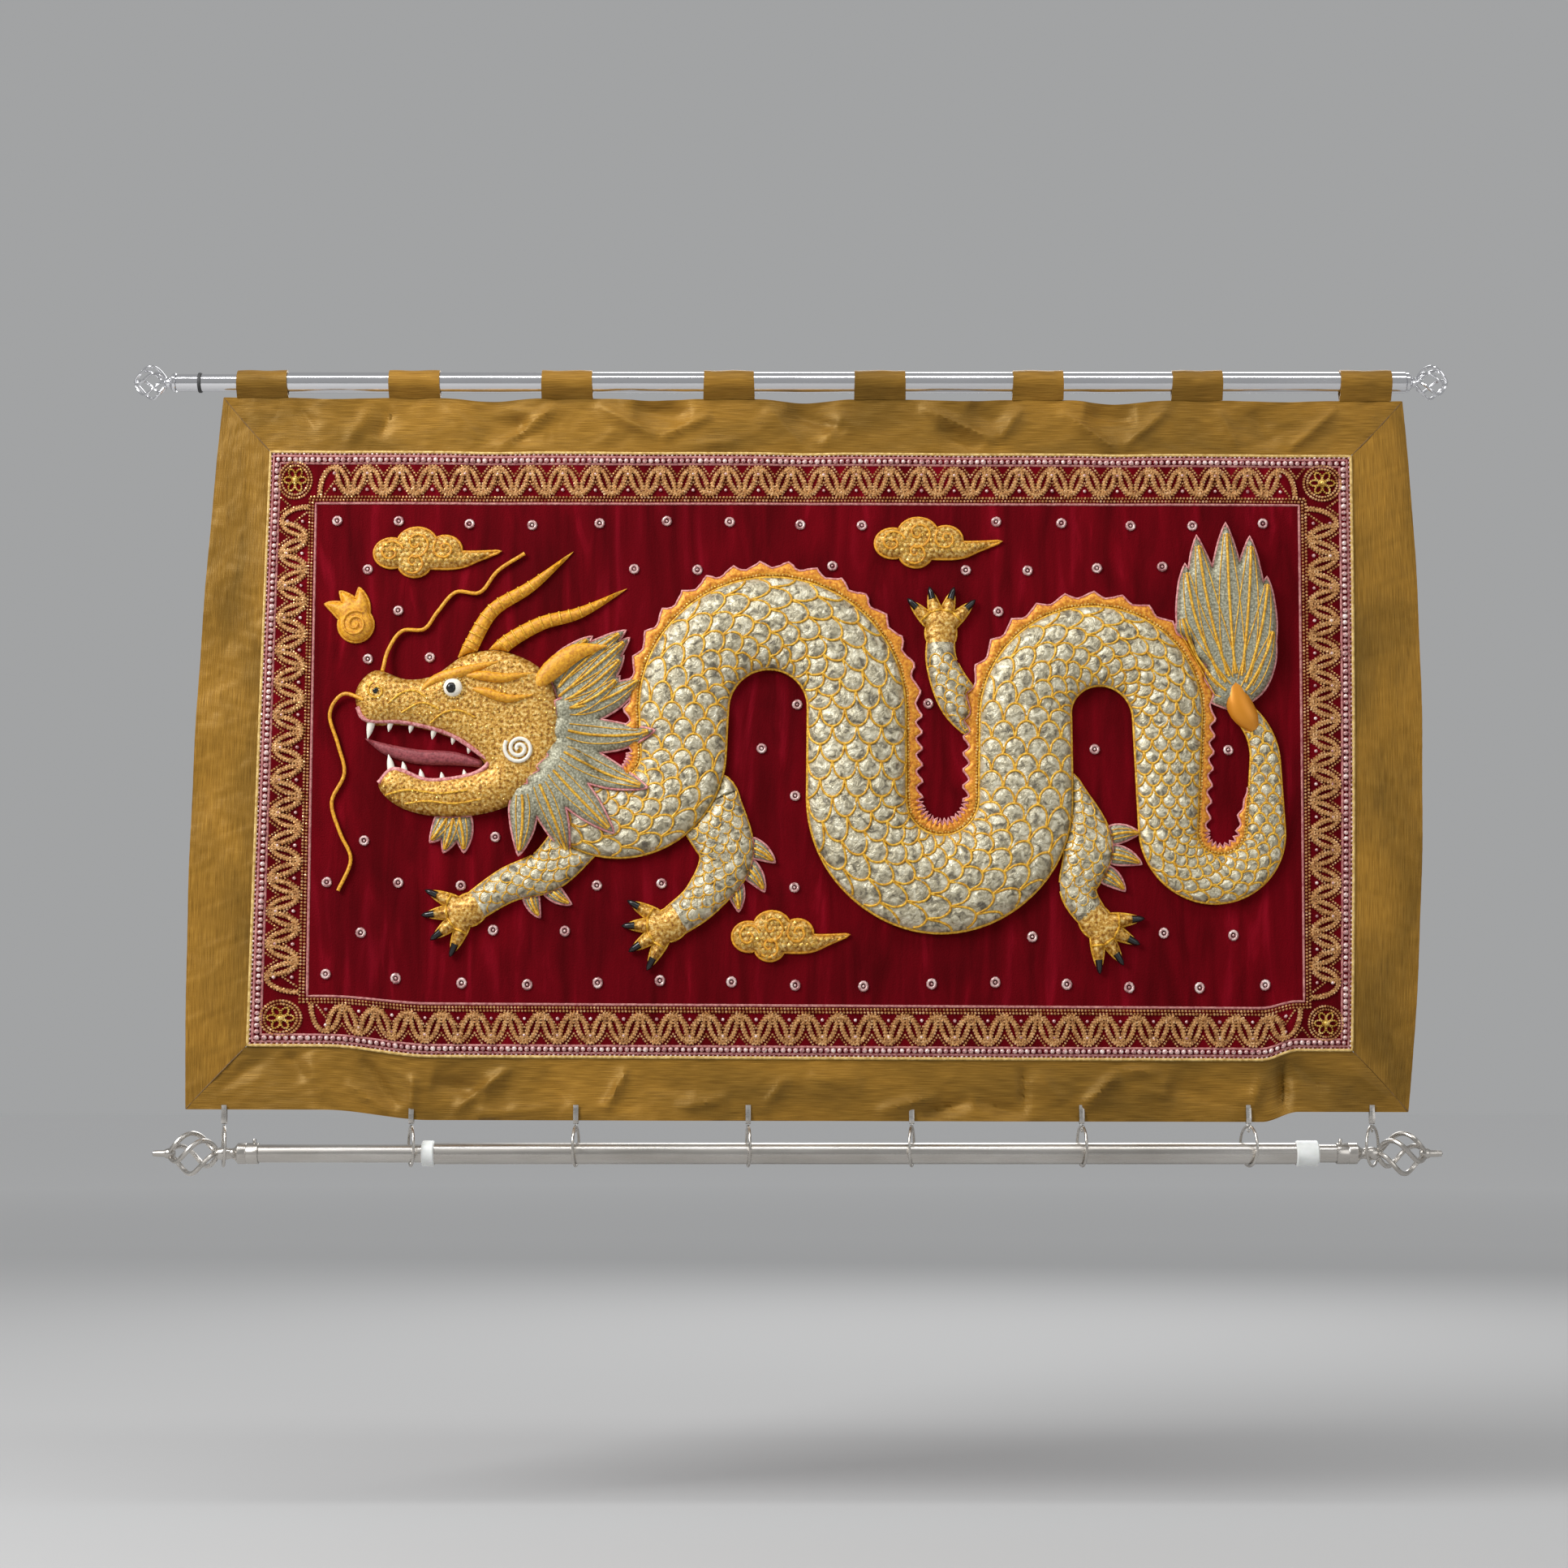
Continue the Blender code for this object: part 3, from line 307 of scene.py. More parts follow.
# Silk surround: four strips of ochre slub silk, two layers thick, mitred at the corners and seamed
# to the velvet. The tabs pucker the top strip, the clips rumple the bottom one, and both are creased.
SILK_THICK, SILK_STEP, CREASE_DEPTH = 0.0016, 0.0032, 1.8
CREASES = (
    # millimetres: from flat p, q, to flat p, q, half-width, height forward
    (-470, 4, -448, 30, 6, -2.2), (-394, 6, -420, 47, 7, 2.4), (-380, 8, -392, 40, 6, -3),
    (-330, 6, -296, 40, 8, 2), (-226, 6, -284, 48, 5, 4.2), (-262, 14, -262, 44, 14, -5),
    (-192, 6, -136, 37, 6, 4.4), (-136, 37, -86, 15, 6, 3.6), (-160, 8, -105, 14, 12, -5),
    (-120, 46, -60, 40, 7, 2.2), (-40, 6, -4, 44, 8, 2.6), (-20, 6, 36, 30, 9, -4),
    (36, 10, 12, 46, 7, 3), (100, 6, 174, 40, 5, 4.2), (174, 40, 196, 6, 6, 3),
    (118, 24, 160, 46, 8, -3.4), (146, 5, 176, 24, 11, -2.8), (228, 10, 284, 48, 5, 4),
    (252, 10, 300, 16, 11, -5), (284, 46, 330, 8, 6, 3.2), (372, 8, 392, 46, 7, 2.4),
    (408, 6, 424, 44, 12, -3.2), (482, 6, 438, 46, 7, 3.4), (-520, 630, -470, 598, 9, -2),
    (-462, 594, -446, 622, 6, -3), (-446, 596, -428, 640, 8, 2.6), (-398, 596, -364, 640, 6, -4),
    (-412, 620, -372, 645, 5, 3), (-350, 604, -352, 640, 5, 3), (-335, 612, -286, 622, 13, -5.6),
    (-316, 640, -262, 598, 5, 4.4), (-300, 643, -222, 636, 6, 2.8), (-236, 600, -210, 634, 10, -2.2),
    (-180, 640, -158, 598, 5, 4), (-150, 610, -100, 622, 10, -2.2), (-118, 636, -66, 626, 6, 2.8),
    (-40, 640, -14, 602, 6, 2.4), (0, 606, 52, 616, 12, 2.6), (62, 640, 120, 622, 6, 3.4),
    (104, 641, 150, 628, 8, -4.8), (150, 628, 196, 640, 8, -4.2), (195, 596, 196, 645, 4, -3.4),
    (206, 600, 230, 632, 8, 2.2), (246, 636, 282, 600, 5, 4.6), (282, 600, 318, 602, 5, 3),
    (290, 618, 330, 622, 10, 2.4), (322, 612, 386, 634, 14, -3.8), (398, 636, 408, 602, 5, 3.6),
    (428, 592, 428, 646, 5, -5.6), (436, 600, 470, 630, 12, -3), (486, 604, 526, 634, 7, 2.2),
)


def rumple(p, q):
    """Height of the listed creases at flat points, fading out at each crease's ends."""
    height = np.zeros_like(p)
    for crease in CREASES:
        start_p, start_q, end_p, end_q, half, rise = (size / 1000 for size in crease)
        along_p, along_q = end_p - start_p, end_q - start_q
        share = (p - start_p) * along_p + (q - start_q) * along_q
        share = np.clip(share / (along_p**2 + along_q**2), 0, 1)
        far = np.hypot(p - start_p - share * along_p, q - start_q - share * along_q)
        soft = np.sqrt((far / half) ** 2 + 0.04) - 0.2
        height += rise * np.exp(-1.3 * soft) * (1 - np.abs(2 * share - 1) ** 3)
    return height


def silk_strip(node, p, q, along, finish):
    """One strip of the surround from a grid of flat points, with threads that run along it."""
    seam = np.minimum(np.abs(q - VELVET_TOP), np.abs(q - VELVET_BOTTOM))
    fold = CREASE_DEPTH * rumple(p, q) * ease(seam, 0, 0.010)
    ripple = 0.0004 * np.sin(p * 210 + 3 * np.sin(q * 190)) * np.sin(q * 160 + p * 60)
    lift = fold + ripple
    points, faces = layered(
        hang(p, q, SILK_THICK / 2 + lift), hang(p, q, lift - SILK_THICK / 2), grid_faces(*p.shape)
    )
    threads = np.stack([p, q], axis=-1) if along == "p" else np.stack([q, p], axis=-1)
    flat_places = np.tile(threads.reshape(-1, 2), (2, 1))
    return make_piece(f"surround_{node}", points, faces, [finish], "silk", node, flat_places)


def slub_silk(name):
    """Ochre silk: fine threads along the strip, thicker slubs here and there, patches of painted sheen and
    shade.
    """
    finish = new_finish(
        name, (0.24, 0.120, 0.017), 0.40, Sheen_Weight=0.08, Sheen_Roughness=0.35,
        Sheen_Tint=(1.0, 0.72, 0.26, 1.0), Specular_IOR_Level=0.45,
        Specular_Tint=(1.0, 0.70, 0.28, 1.0),
    )
    threads = graded(
        finish,
        grain(finish, "UV", (42, 1300, 1), 2.0),
        ((0.30, (0.170, 0.082, 0.011)), (0.50, (0.240, 0.120, 0.017)), (0.72, (0.320, 0.168, 0.027))),
    )
    # Painted sheen and shade: soft lighter and darker patches multiplied into the colour stand in for the
    # silk's changing sheen and shade.
    painted_sheen_and_shade = graded(
        finish,
        grain(finish, "UV", (7, 16, 1), 3.0, 0.6),
        ((0.32, (0.58, 0.59, 0.62)), (0.68, (1.18, 1.16, 1.12))),
        None,
    )
    coloured(finish, blended(finish, 1.0, threads, painted_sheen_and_shade, "MULTIPLY"))
    raised(finish, grain(finish, "UV", (60, 1300, 1), 2.0), 0.0003)
    raised(finish, grain(finish, "UV", (1300, 60, 1), 2.0), 0.0001)
    raised(finish, grain(finish, "UV", (24, 30, 1), 2.0, 0.3), 0.0040)
    return finish


silk = slub_silk("ochre slub silk")
outer_half = CLOTH_WIDTH / 2
mitre = SEAM_GAP * 0.75
widths = np.linspace(0, 1, 18)
for node, edge, seam in (
    ("silk_top", 0.0, VELVET_TOP - SEAM_GAP / 2),
    ("silk_bottom", CLOTH_HEIGHT, VELVET_BOTTOM + SEAM_GAP / 2),
):
    reach = outer_half - mitre + (VELVET_HALF_WIDTH - outer_half) * widths
    strip_p = np.outer(reach, np.linspace(-1, 1, round(CLOTH_WIDTH / SILK_STEP)))
    strip_q = np.outer(edge + (seam - edge) * widths, np.ones(strip_p.shape[1]))
    order = slice(None) if seam > edge else slice(None, None, -1)
    strip = silk_strip(node, strip_p[order], strip_q[order], "p", silk)
for node, side in (("silk_left", -1), ("silk_right", 1)):
    run = np.linspace(0, 1, round(CLOTH_HEIGHT / SILK_STEP))
    seam_half = VELVET_HALF_WIDTH + SEAM_GAP / 2
    strip_p = np.outer(np.ones_like(run), side * (outer_half + (seam_half - outer_half) * widths))
    high = mitre + VELVET_TOP * widths
    low = CLOTH_HEIGHT - mitre + (VELVET_BOTTOM - CLOTH_HEIGHT) * widths
    strip_q = np.outer(1 - run, high) + np.outer(run, low)
    order = slice(None) if side < 0 else slice(None, None, -1)
    strip = silk_strip(node, strip_p[:, order], strip_q[:, order], "q", silk)


# Tabs: eight flat loops of the same silk, sewn to the back and front of the top edge and passed
# over the rod. Each is pressed flat and pulled a little hollow at its edges.
TAB_WIDTH, TAB_THICK, TAB_TAIL = 0.047, 0.0012, 0.020
ROD_RADIUS, GAP, CLIP_GAP = 0.0095, 0.0003, 0.0008


def tab_path(top_edge):
    """The tab's middle line in (y, z): up from its front seam, over the rod and down the back."""
    radius = ROD_RADIUS + GAP + TAB_THICK / 2
    front_foot = (-TAB_THICK * 0.65, top_edge + SEAM_GAP)
    back_turn = (SILK_THICK / 2 + CLIP_GAP + TAB_THICK / 2, top_edge)
    back_foot = (back_turn[0], top_edge - TAB_TAIL)
    front_lead = math.acos(radius / math.hypot(*front_foot))
    back_lead = math.acos(radius / math.hypot(*back_turn))
    start = math.atan2(front_foot[1], front_foot[0]) - front_lead + math.tau
    end = math.atan2(back_turn[1], back_turn[0]) + back_lead
    arc = [(radius * math.cos(turn), radius * math.sin(turn)) for turn in np.linspace(start, end, 40)]
    return np.array([front_foot, *arc, back_turn, back_foot])


tab_silk = slub_silk("ochre slub silk, tabs")
for number, middle in enumerate(TAB_MIDDLES, 1):
    place = hang(middle, 0.0, 0.0)[0]
    path = tab_path(place[2])
    ahead = np.gradient(path, axis=0)
    ahead /= np.linalg.norm(ahead, axis=1)[:, None]
    outward = np.stack([-ahead[:, 1], ahead[:, 0]], axis=1)
    run = np.concatenate([[0], np.cumsum(np.linalg.norm(np.diff(path, axis=0), axis=1))])
    across = np.linspace(-1, 1, 15)
    pinch = 1 - 0.035 * np.sin(math.pi * run / run[-1])[:, None] * (1 + 0.4 * math.sin(number * 2.1))
    x = place[0] + across * TAB_WIDTH / 2 * pinch
    layers = []
    for face_side in (1, -1):
        soft = 0.0003 * (1 + np.sin(across * 4.2 + number + run[:, None] * 90)) * (face_side > 0)
        lift = face_side * TAB_THICK / 2 + soft
        y = path[:, :1] + outward[:, :1] * lift
        z = path[:, 1:] + outward[:, 1:] * lift
        layers.append(np.stack([x, y, z], axis=-1).reshape(-1, 3))
    points, faces = layered(*layers, grid_faces(len(path), len(across)))
    threads = np.stack(np.broadcast_arrays(x, run[:, None]), axis=-1).reshape(-1, 2)
    tab = make_piece(
        f"tab_loop_{number}", points, faces, [tab_silk], "silk", f"tab_{number}",
        np.tile(threads, (2, 1)),
    )


# Upper rod: chromed steel, a 16 mm tube sliding in a 19 mm one, with a dark stop ring and a ball
# of bent wires plugged into each end. It carries the tabs, and everything else hangs from them.
INNER_RADIUS, TUBE_WALL, SLIDE = 0.0080, 0.0011, 0.060
UPPER_JOINT, UPPER_LEFT, UPPER_RIGHT = -0.481, -0.568, 0.553
STOP_RADIUS, STOP_WIDTH, STOP_PLACE = 0.0092, 0.003, -0.548
TURN_SIDES = 48


def turned(profile, height, sides=TURN_SIDES, closed=False, place=0.0, side=1):
    """Points and faces of a profile of (x, radius) turned about X, moved to a place along a rod."""
    points, rings, faces = [], [], []
    for x, radius in profile:
        turns = np.arange(sides if radius else 1) * math.tau / sides
        rings.append(len(points) + np.arange(len(turns)))
        points += [
            (place + side * x, radius * math.cos(turn), height + radius * math.sin(turn)) for turn in turns
        ]
    for here, there in zip(rings, rings[1:] + rings[:1] * closed):
        for step in range(sides):
            corners = [
                here[step % len(here)],
                here[(step + 1) % len(here)],
                there[(step + 1) % len(there)],
                there[step % len(there)],
            ]
            corners = list(dict.fromkeys(int(corner) for corner in corners))
            if len(corners) > 2:
                faces.append(corners)
    return points, faces


def tube_profile(start, end, outside, inside, rounding=0.0004):
    """Profile of an open tube with its outer ends eased."""
    return (
        (start, outside - rounding),
        (start + rounding, outside),
        (end - rounding, outside),
        (end, outside - rounding),
        (end, inside),
        (start, inside),
    )


def joined(*parts):
    """One set of points and faces from several."""
    points, faces = [], []
    for part_points, part_faces in parts:
        faces += [[corner + len(points) for corner in face] for face in part_faces]
        points += list(part_points)
    return points, faces


def wire_along(path, radius, sides=10):
    """Points and faces of a wire swept along a path, narrowed at its ends."""
    path = np.asarray(path, float)
    ahead = np.gradient(path, axis=0)
    ahead /= np.linalg.norm(ahead, axis=1)[:, None]
    across = np.cross(ahead[0], (0.3, 0.5, 0.8))
    frames = []
    for direction in ahead:
        across = across - direction * (across @ direction)
        across /= np.linalg.norm(across)
        frames.append((across, np.cross(direction, across)))
    radii = np.full(len(path), radius)
    radii[[0, -1]] *= 0.5
    points = []
    for centre, (first, second), reach in zip(path, frames, radii):
        for turn in np.arange(sides) * math.tau / sides:
            points.append(centre + reach * (first * math.cos(turn) + second * math.sin(turn)))
    faces = []
    for ring in range(len(path) - 1):
        for step in range(sides):
            low, high, following = ring * sides, (ring + 1) * sides, (step + 1) % sides
            faces.append([low + step, low + following, high + following, high + step])
    last = (len(path) - 1) * sides
    faces += [list(range(sides))[::-1], [last + step for step in range(sides)]]
    return points, faces


def caged(start, length, belly, bars, twist, wire, place, height, side, pinch=0.75):
    """Bars that bow out from pole to pole of a ball while they wind round it."""
    shares = np.linspace(0, 1, 28)
    reach = wire * 0.8 + (belly - wire) * np.sin(math.pi * shares) ** pinch
    found = []
    for number in range(bars):
        angle = math.tau * number / bars + math.radians(twist) * shares
        x = place + side * (start + length * shares)
        path = np.stack([x, reach * np.cos(angle), height + reach * np.sin(angle)], axis=1)
        found.append(wire_along(path, wire))
    return joined(*found)


chrome = new_finish("polished chrome", (0.78, 0.78, 0.80), 0.10, 1.0)
graded(
    chrome,
    grain(chrome, "Object", (9, 60, 60), 3.0),
    ((0.35, (0.07, 0.07, 0.07)), (0.75, (0.20, 0.20, 0.20))),
    "Roughness",
)
raised(chrome, grain(chrome, "Object", (30, 900, 900), 2.0), 0.00002)
dark_rubber = new_finish("dark rubber", (0.035, 0.035, 0.035), 0.6)
raised(dark_rubber, grain(dark_rubber, "Object", (900, 900, 900), 2.0), 0.0001)

bore = INNER_RADIUS + GAP
inner_bore = INNER_RADIUS - TUBE_WALL
for name, node, profile, finish, slot in (
    (
        "chrome_tube_wide", "upper_rod_outer",
        tube_profile(UPPER_JOINT, UPPER_RIGHT, ROD_RADIUS, bore), chrome, "chrome",
    ),
    (
        "chrome_tube_narrow", "upper_rod_inner",
        tube_profile(UPPER_LEFT, UPPER_JOINT + SLIDE, INNER_RADIUS, inner_bore), chrome, "chrome",
    ),
    (
        "dark_stop_ring", "stop_ring",
        tube_profile(STOP_PLACE, STOP_PLACE + STOP_WIDTH, STOP_RADIUS, bore), dark_rubber,
        "dark_rubber",
    ),
):
    make_piece(name, *turned(profile, 0.0, closed=True), [finish], slot, node, crease=35)

ball_plug = (
    (-0.012, 0.0),
    (-0.012, inner_bore - GAP),
    (GAP, inner_bore - GAP),
    (GAP, 0.0084),
    (0.0008, 0.0088), (0.0030, 0.0088), (0.0042, 0.0078), (0.0062, 0.0050), (0.0085, 0.0047),
    (0.0100, 0.0040), (0.0112, 0.0024), (0.0120, 0.0),
)
far_pole = ((0.0350, 0.0), (0.0356, 0.0022), (0.0372, 0.0031), (0.0388, 0.0024), (0.0394, 0.0))
for name, node, place, side in (
    ("wire_ball_left", "upper_finial_left", UPPER_LEFT, -1),
    ("wire_ball_right", "upper_finial_right", UPPER_RIGHT, 1),
):
    parts = joined(
        turned(ball_plug, 0.0, 32, place=place, side=side),
        caged(0.009, 0.029, 0.0150, 6, 100, 0.0013, place, 0.0, side),
        turned(far_pole, 0.0, 24, place=place, side=side),
    )
    make_piece(name, *parts, [chrome], "chrome", node, crease=35)


# Lower rod: satin nickel, three telescoping tubes that weight the hem, with white plastic sleeves
# over the joints and an open twisted cage on a vase-shaped neck at each end.
LOWER_AXIS = -0.698
LOWER_LEFT_JOINT, LOWER_RIGHT_JOINT = -0.335, 0.460
LOWER_LEFT, LOWER_RIGHT = -0.490, 0.486
SLEEVE_RADIUS, COLLAR_WIDTH, SLEEVE_WIDTH = 0.0115, 0.011, 0.020

nickel = new_finish("satin nickel", (0.56, 0.53, 0.49), 0.27, 1.0)
graded(
    nickel,
    grain(nickel, "Object", (7, 260, 260), 4.0),
    ((0.30, (0.20, 0.20, 0.20)), (0.75, (0.38, 0.38, 0.38))),
    "Roughness",
)
graded(
    nickel,
    grain(nickel, "Object", (11, 40, 40), 3.0),
    ((0.30, (0.47, 0.44, 0.40)), (0.70, (0.64, 0.61, 0.57))),
)
raised(nickel, grain(nickel, "Object", (14, 1300, 1300), 2.0), 0.00003)
white_plastic = new_finish("white plastic", (0.80, 0.80, 0.78), 0.38, Subsurface_Weight=0.05)
graded(
    white_plastic,
    grain(white_plastic, "Object", (90, 90, 90), 3.0),
    ((0.35, (0.72, 0.72, 0.69)), (0.65, (0.84, 0.84, 0.82))),
)
raised(white_plastic, grain(white_plastic, "Object", (1200, 1200, 1200), 2.0), 0.00004)

sleeve_start = LOWER_RIGHT_JOINT - SLEEVE_WIDTH
for name, node, start, end, outside, inside, finish, slot in (
    (
        "nickel_tube_middle", "lower_rod_outer",
        LOWER_LEFT_JOINT, LOWER_RIGHT_JOINT, ROD_RADIUS, bore, nickel, "nickel",
    ),
    (
        "nickel_tube_left", "lower_rod_left",
        LOWER_LEFT, LOWER_LEFT_JOINT + SLIDE, INNER_RADIUS, inner_bore, nickel, "nickel",
    ),
    (
        "nickel_tube_right", "lower_rod_right",
        LOWER_RIGHT_JOINT - SLIDE, LOWER_RIGHT, INNER_RADIUS, inner_bore, nickel, "nickel",
    ),
    (
        "white_collar", "joint_collar",
        LOWER_LEFT_JOINT, LOWER_LEFT_JOINT + COLLAR_WIDTH, SLEEVE_RADIUS, ROD_RADIUS + GAP,
        white_plastic, "white_plastic",
    ),
    (
        "white_sleeve", "joint_sleeve",
        sleeve_start, LOWER_RIGHT_JOINT, SLEEVE_RADIUS, ROD_RADIUS + GAP,
        white_plastic, "white_plastic",
    ),
):
    rounding = 0.0011 if finish is white_plastic else 0.0004
    profile = tube_profile(start, end, outside, inside, rounding)
    make_piece(name, *turned(profile, LOWER_AXIS, closed=True), [finish], slot, node, crease=35)

cage_neck = (
    (-0.0100, bore),
    (-0.0100, 0.0090), (-0.0096, 0.0094), (0.0000, 0.0094), (0.0006, 0.0090), (0.0012, 0.0094),
    (0.0082, 0.0094), (0.0100, 0.0074), (0.0118, 0.0052), (0.0142, 0.0045), (0.0168, 0.0050),
    (0.0205, 0.0060), (0.0240, 0.0056), (0.0272, 0.0046), (0.0295, 0.0030), (0.0310, 0.0),
    (GAP, 0.0),
    (GAP, bore),
)
cage_tip = (
    (0.0640, 0.0), (0.0645, 0.0034), (0.0672, 0.0046), (0.0700, 0.0049), (0.0722, 0.0042),
    (0.0742, 0.0031), (0.0800, 0.0030), (0.0836, 0.0026), (0.0850, 0.0),
)
set_screw = ((0.0, 0.0), (0.0, 0.0016), (0.0034, 0.0016), (0.0042, 0.0011), (0.0042, 0.0))
for name, node, place, side in (
    ("twisted_cage_left", "lower_finial_left", LOWER_LEFT, -1),
    ("twisted_cage_right", "lower_finial_right", LOWER_RIGHT, 1),
):
    screw_points, screw_faces = turned(set_screw, 0.0, 16)
    screw_x = place - side * 0.006
    screw_foot = LOWER_AXIS + 0.0088
    screw_points = [(screw_x + y, z, screw_foot + x) for x, y, z in screw_points]
    parts = joined(
        turned(cage_neck, LOWER_AXIS, 40, closed=True, place=place, side=side),
        caged(0.027, 0.042, 0.0185, 4, 150, 0.0022, place, LOWER_AXIS, side),
        turned(cage_tip, LOWER_AXIS, 28, place=place, side=side),
        (screw_points, screw_faces),
    )
    make_piece(name, *parts, [nickel], "nickel", node, crease=35)


# Clip rings: eight rings of round wire on the lower rod, each with a small eye that carries a
# narrow folded clip. The clip bites the hem, and the rod's weight keeps the cloth straight.
RING_OUTER, RING_WIRE, EYELET_RADIUS, EYELET_WIRE = 0.038, 0.0026, 0.0024, 0.0014
CLIP_WIDTH, CLIP_HEIGHT, CLIP_SHEET, CLIP_BOW = 0.0045, 0.017, 0.0010, 0.0004

ring_centre = LOWER_AXIS - ROD_RADIUS - GAP - RING_WIRE + RING_OUTER / 2
ring_middle = (RING_OUTER - RING_WIRE) / 2
clip_floor = ring_centre + RING_OUTER / 2 + GAP
jaw = SILK_THICK / 2 + CLIP_GAP
fold = (
    # y, z of the clip's sheet, down its back, round its foot and up its front
    (jaw + 0.0008, clip_floor + CLIP_HEIGHT),
    (jaw + 0.0002, clip_floor + CLIP_HEIGHT * 0.80),
    (jaw + 0.0014, clip_floor + CLIP_HEIGHT * 0.35),
    (jaw + 0.0006, clip_floor + 0.0012),
    (0.0, clip_floor + CLIP_SHEET / 2),
    (-jaw - 0.0006, clip_floor + 0.0012),
    (-jaw - 0.0014, clip_floor + CLIP_HEIGHT * 0.35),
    (-jaw - 0.0002, clip_floor + CLIP_HEIGHT * 0.80),
    (-jaw - 0.0008, clip_floor + CLIP_HEIGHT),
)
for number, (flat, turn) in enumerate(RINGS, 1):
    x = hang(flat, CLOTH_HEIGHT, 0.0)[0][0]
    lean = math.radians(turn)
    wires = []
    for middle, radius, wire, join_at, count, sides in (
        (ring_centre, ring_middle, RING_WIRE, math.pi / 2, 49, 10),
        (ring_centre + ring_middle - 2 * EYELET_WIRE, EYELET_RADIUS, EYELET_WIRE, 0, 17, 8),
    ):
        turns = np.linspace(0, math.tau, count) + join_at
        out = radius * np.cos(turns)
        path = [x - out * math.sin(lean), out * math.cos(lean), middle + radius * np.sin(turns)]
        wires.append(wire_along(np.stack(path, axis=1), wire / 2, sides))
    make_piece(f"wire_ring_{number}", *joined(*wires), [nickel], "nickel", f"ring_{number}", crease=50)
    normal = np.gradient(np.array(fold), axis=0)
    normal /= np.linalg.norm(normal, axis=1)[:, None]
    strip = np.linspace(-1, 1, 5)
    layers = []
    for face_side in (1, -1):
        off = face_side * CLIP_SHEET / 2
        for_y = [y - slope_z * off for (y, _), (_, slope_z) in zip(fold, normal)]
        for_z = [z + slope_y * off for (_, z), (slope_y, _) in zip(fold, normal)]
        layers.append(
            [
                (x + step * CLIP_WIDTH / 2, y + math.copysign(CLIP_BOW * (1 - step**2), y), z)
                for y, z in zip(for_y, for_z)
                for step in strip
            ]
        )
    shell = layered(*layers, grid_faces(len(fold), len(strip)))
    make_piece(f"hem_clip_{number}", *shell, [nickel], "nickel", f"clip_{number}", crease=40)


# Border: gold and rose sequins sewn on the velvet in interlaced arches, with a roundel in each
# corner. Outside them run a pearl row between two rose braids and a row of dots, and inside them a
# double row of sequins beside a third braid. Yellow piping covers the seam.
PILE = VELVET_THICK / 2
BAND = VELVET_HALF_WIDTH - FIELD_HALF_WIDTH
ARCH_PITCH, ARCH_FOOT, ARCH_RISE = 0.0297, 0.0092, 0.0258
SEQUIN, SEQUIN_SPACING = 0.00125, 0.0026


def sewn(points):
    """World points of places (a, b, lift) on the velvet."""
    points = np.asarray(points, float).reshape(-1, 3)
    return hang(points[:, 0], FIELD_MIDDLE - points[:, 1], points[:, 2])


def new_tree(name, inputs):
    """A Geometry Nodes tree with named inputs, and its input and output nodes."""
    tree = bpy.data.node_groups.new(name, "GeometryNodeTree")
    for label, kind in inputs:
        tree.interface.new_socket(label, in_out="INPUT", socket_type=f"NodeSocket{kind}")
    tree.interface.new_socket("Made", in_out="OUTPUT", socket_type="NodeSocketGeometry")
    return tree, tree.nodes.new("NodeGroupInput"), tree.nodes.new("NodeGroupOutput")


def dressed(tree, given, made, geometry, smooth=None):
    """Ends a tree: makes its pieces real, shades them, gives them their finish and puts them out."""
    real = tree.nodes.new("GeometryNodeRealizeInstances")
    dress = tree.nodes.new("GeometryNodeSetMaterial")
    tree.links.new(geometry, real.inputs["Geometry"])
    geometry = real.outputs["Geometry"]
    if smooth is not None:
        shade = tree.nodes.new("GeometryNodeSetShadeSmooth")
        shade.inputs["Shade Smooth"].default_value = smooth
        tree.links.new(geometry, shade.inputs["Geometry"])
        geometry = shade.outputs["Geometry"]
    tree.links.new(geometry, dress.inputs["Geometry"])
    tree.links.new(given.outputs["Finish"], dress.inputs["Material"])
    tree.links.new(dress.outputs["Geometry"], made.inputs["Made"])


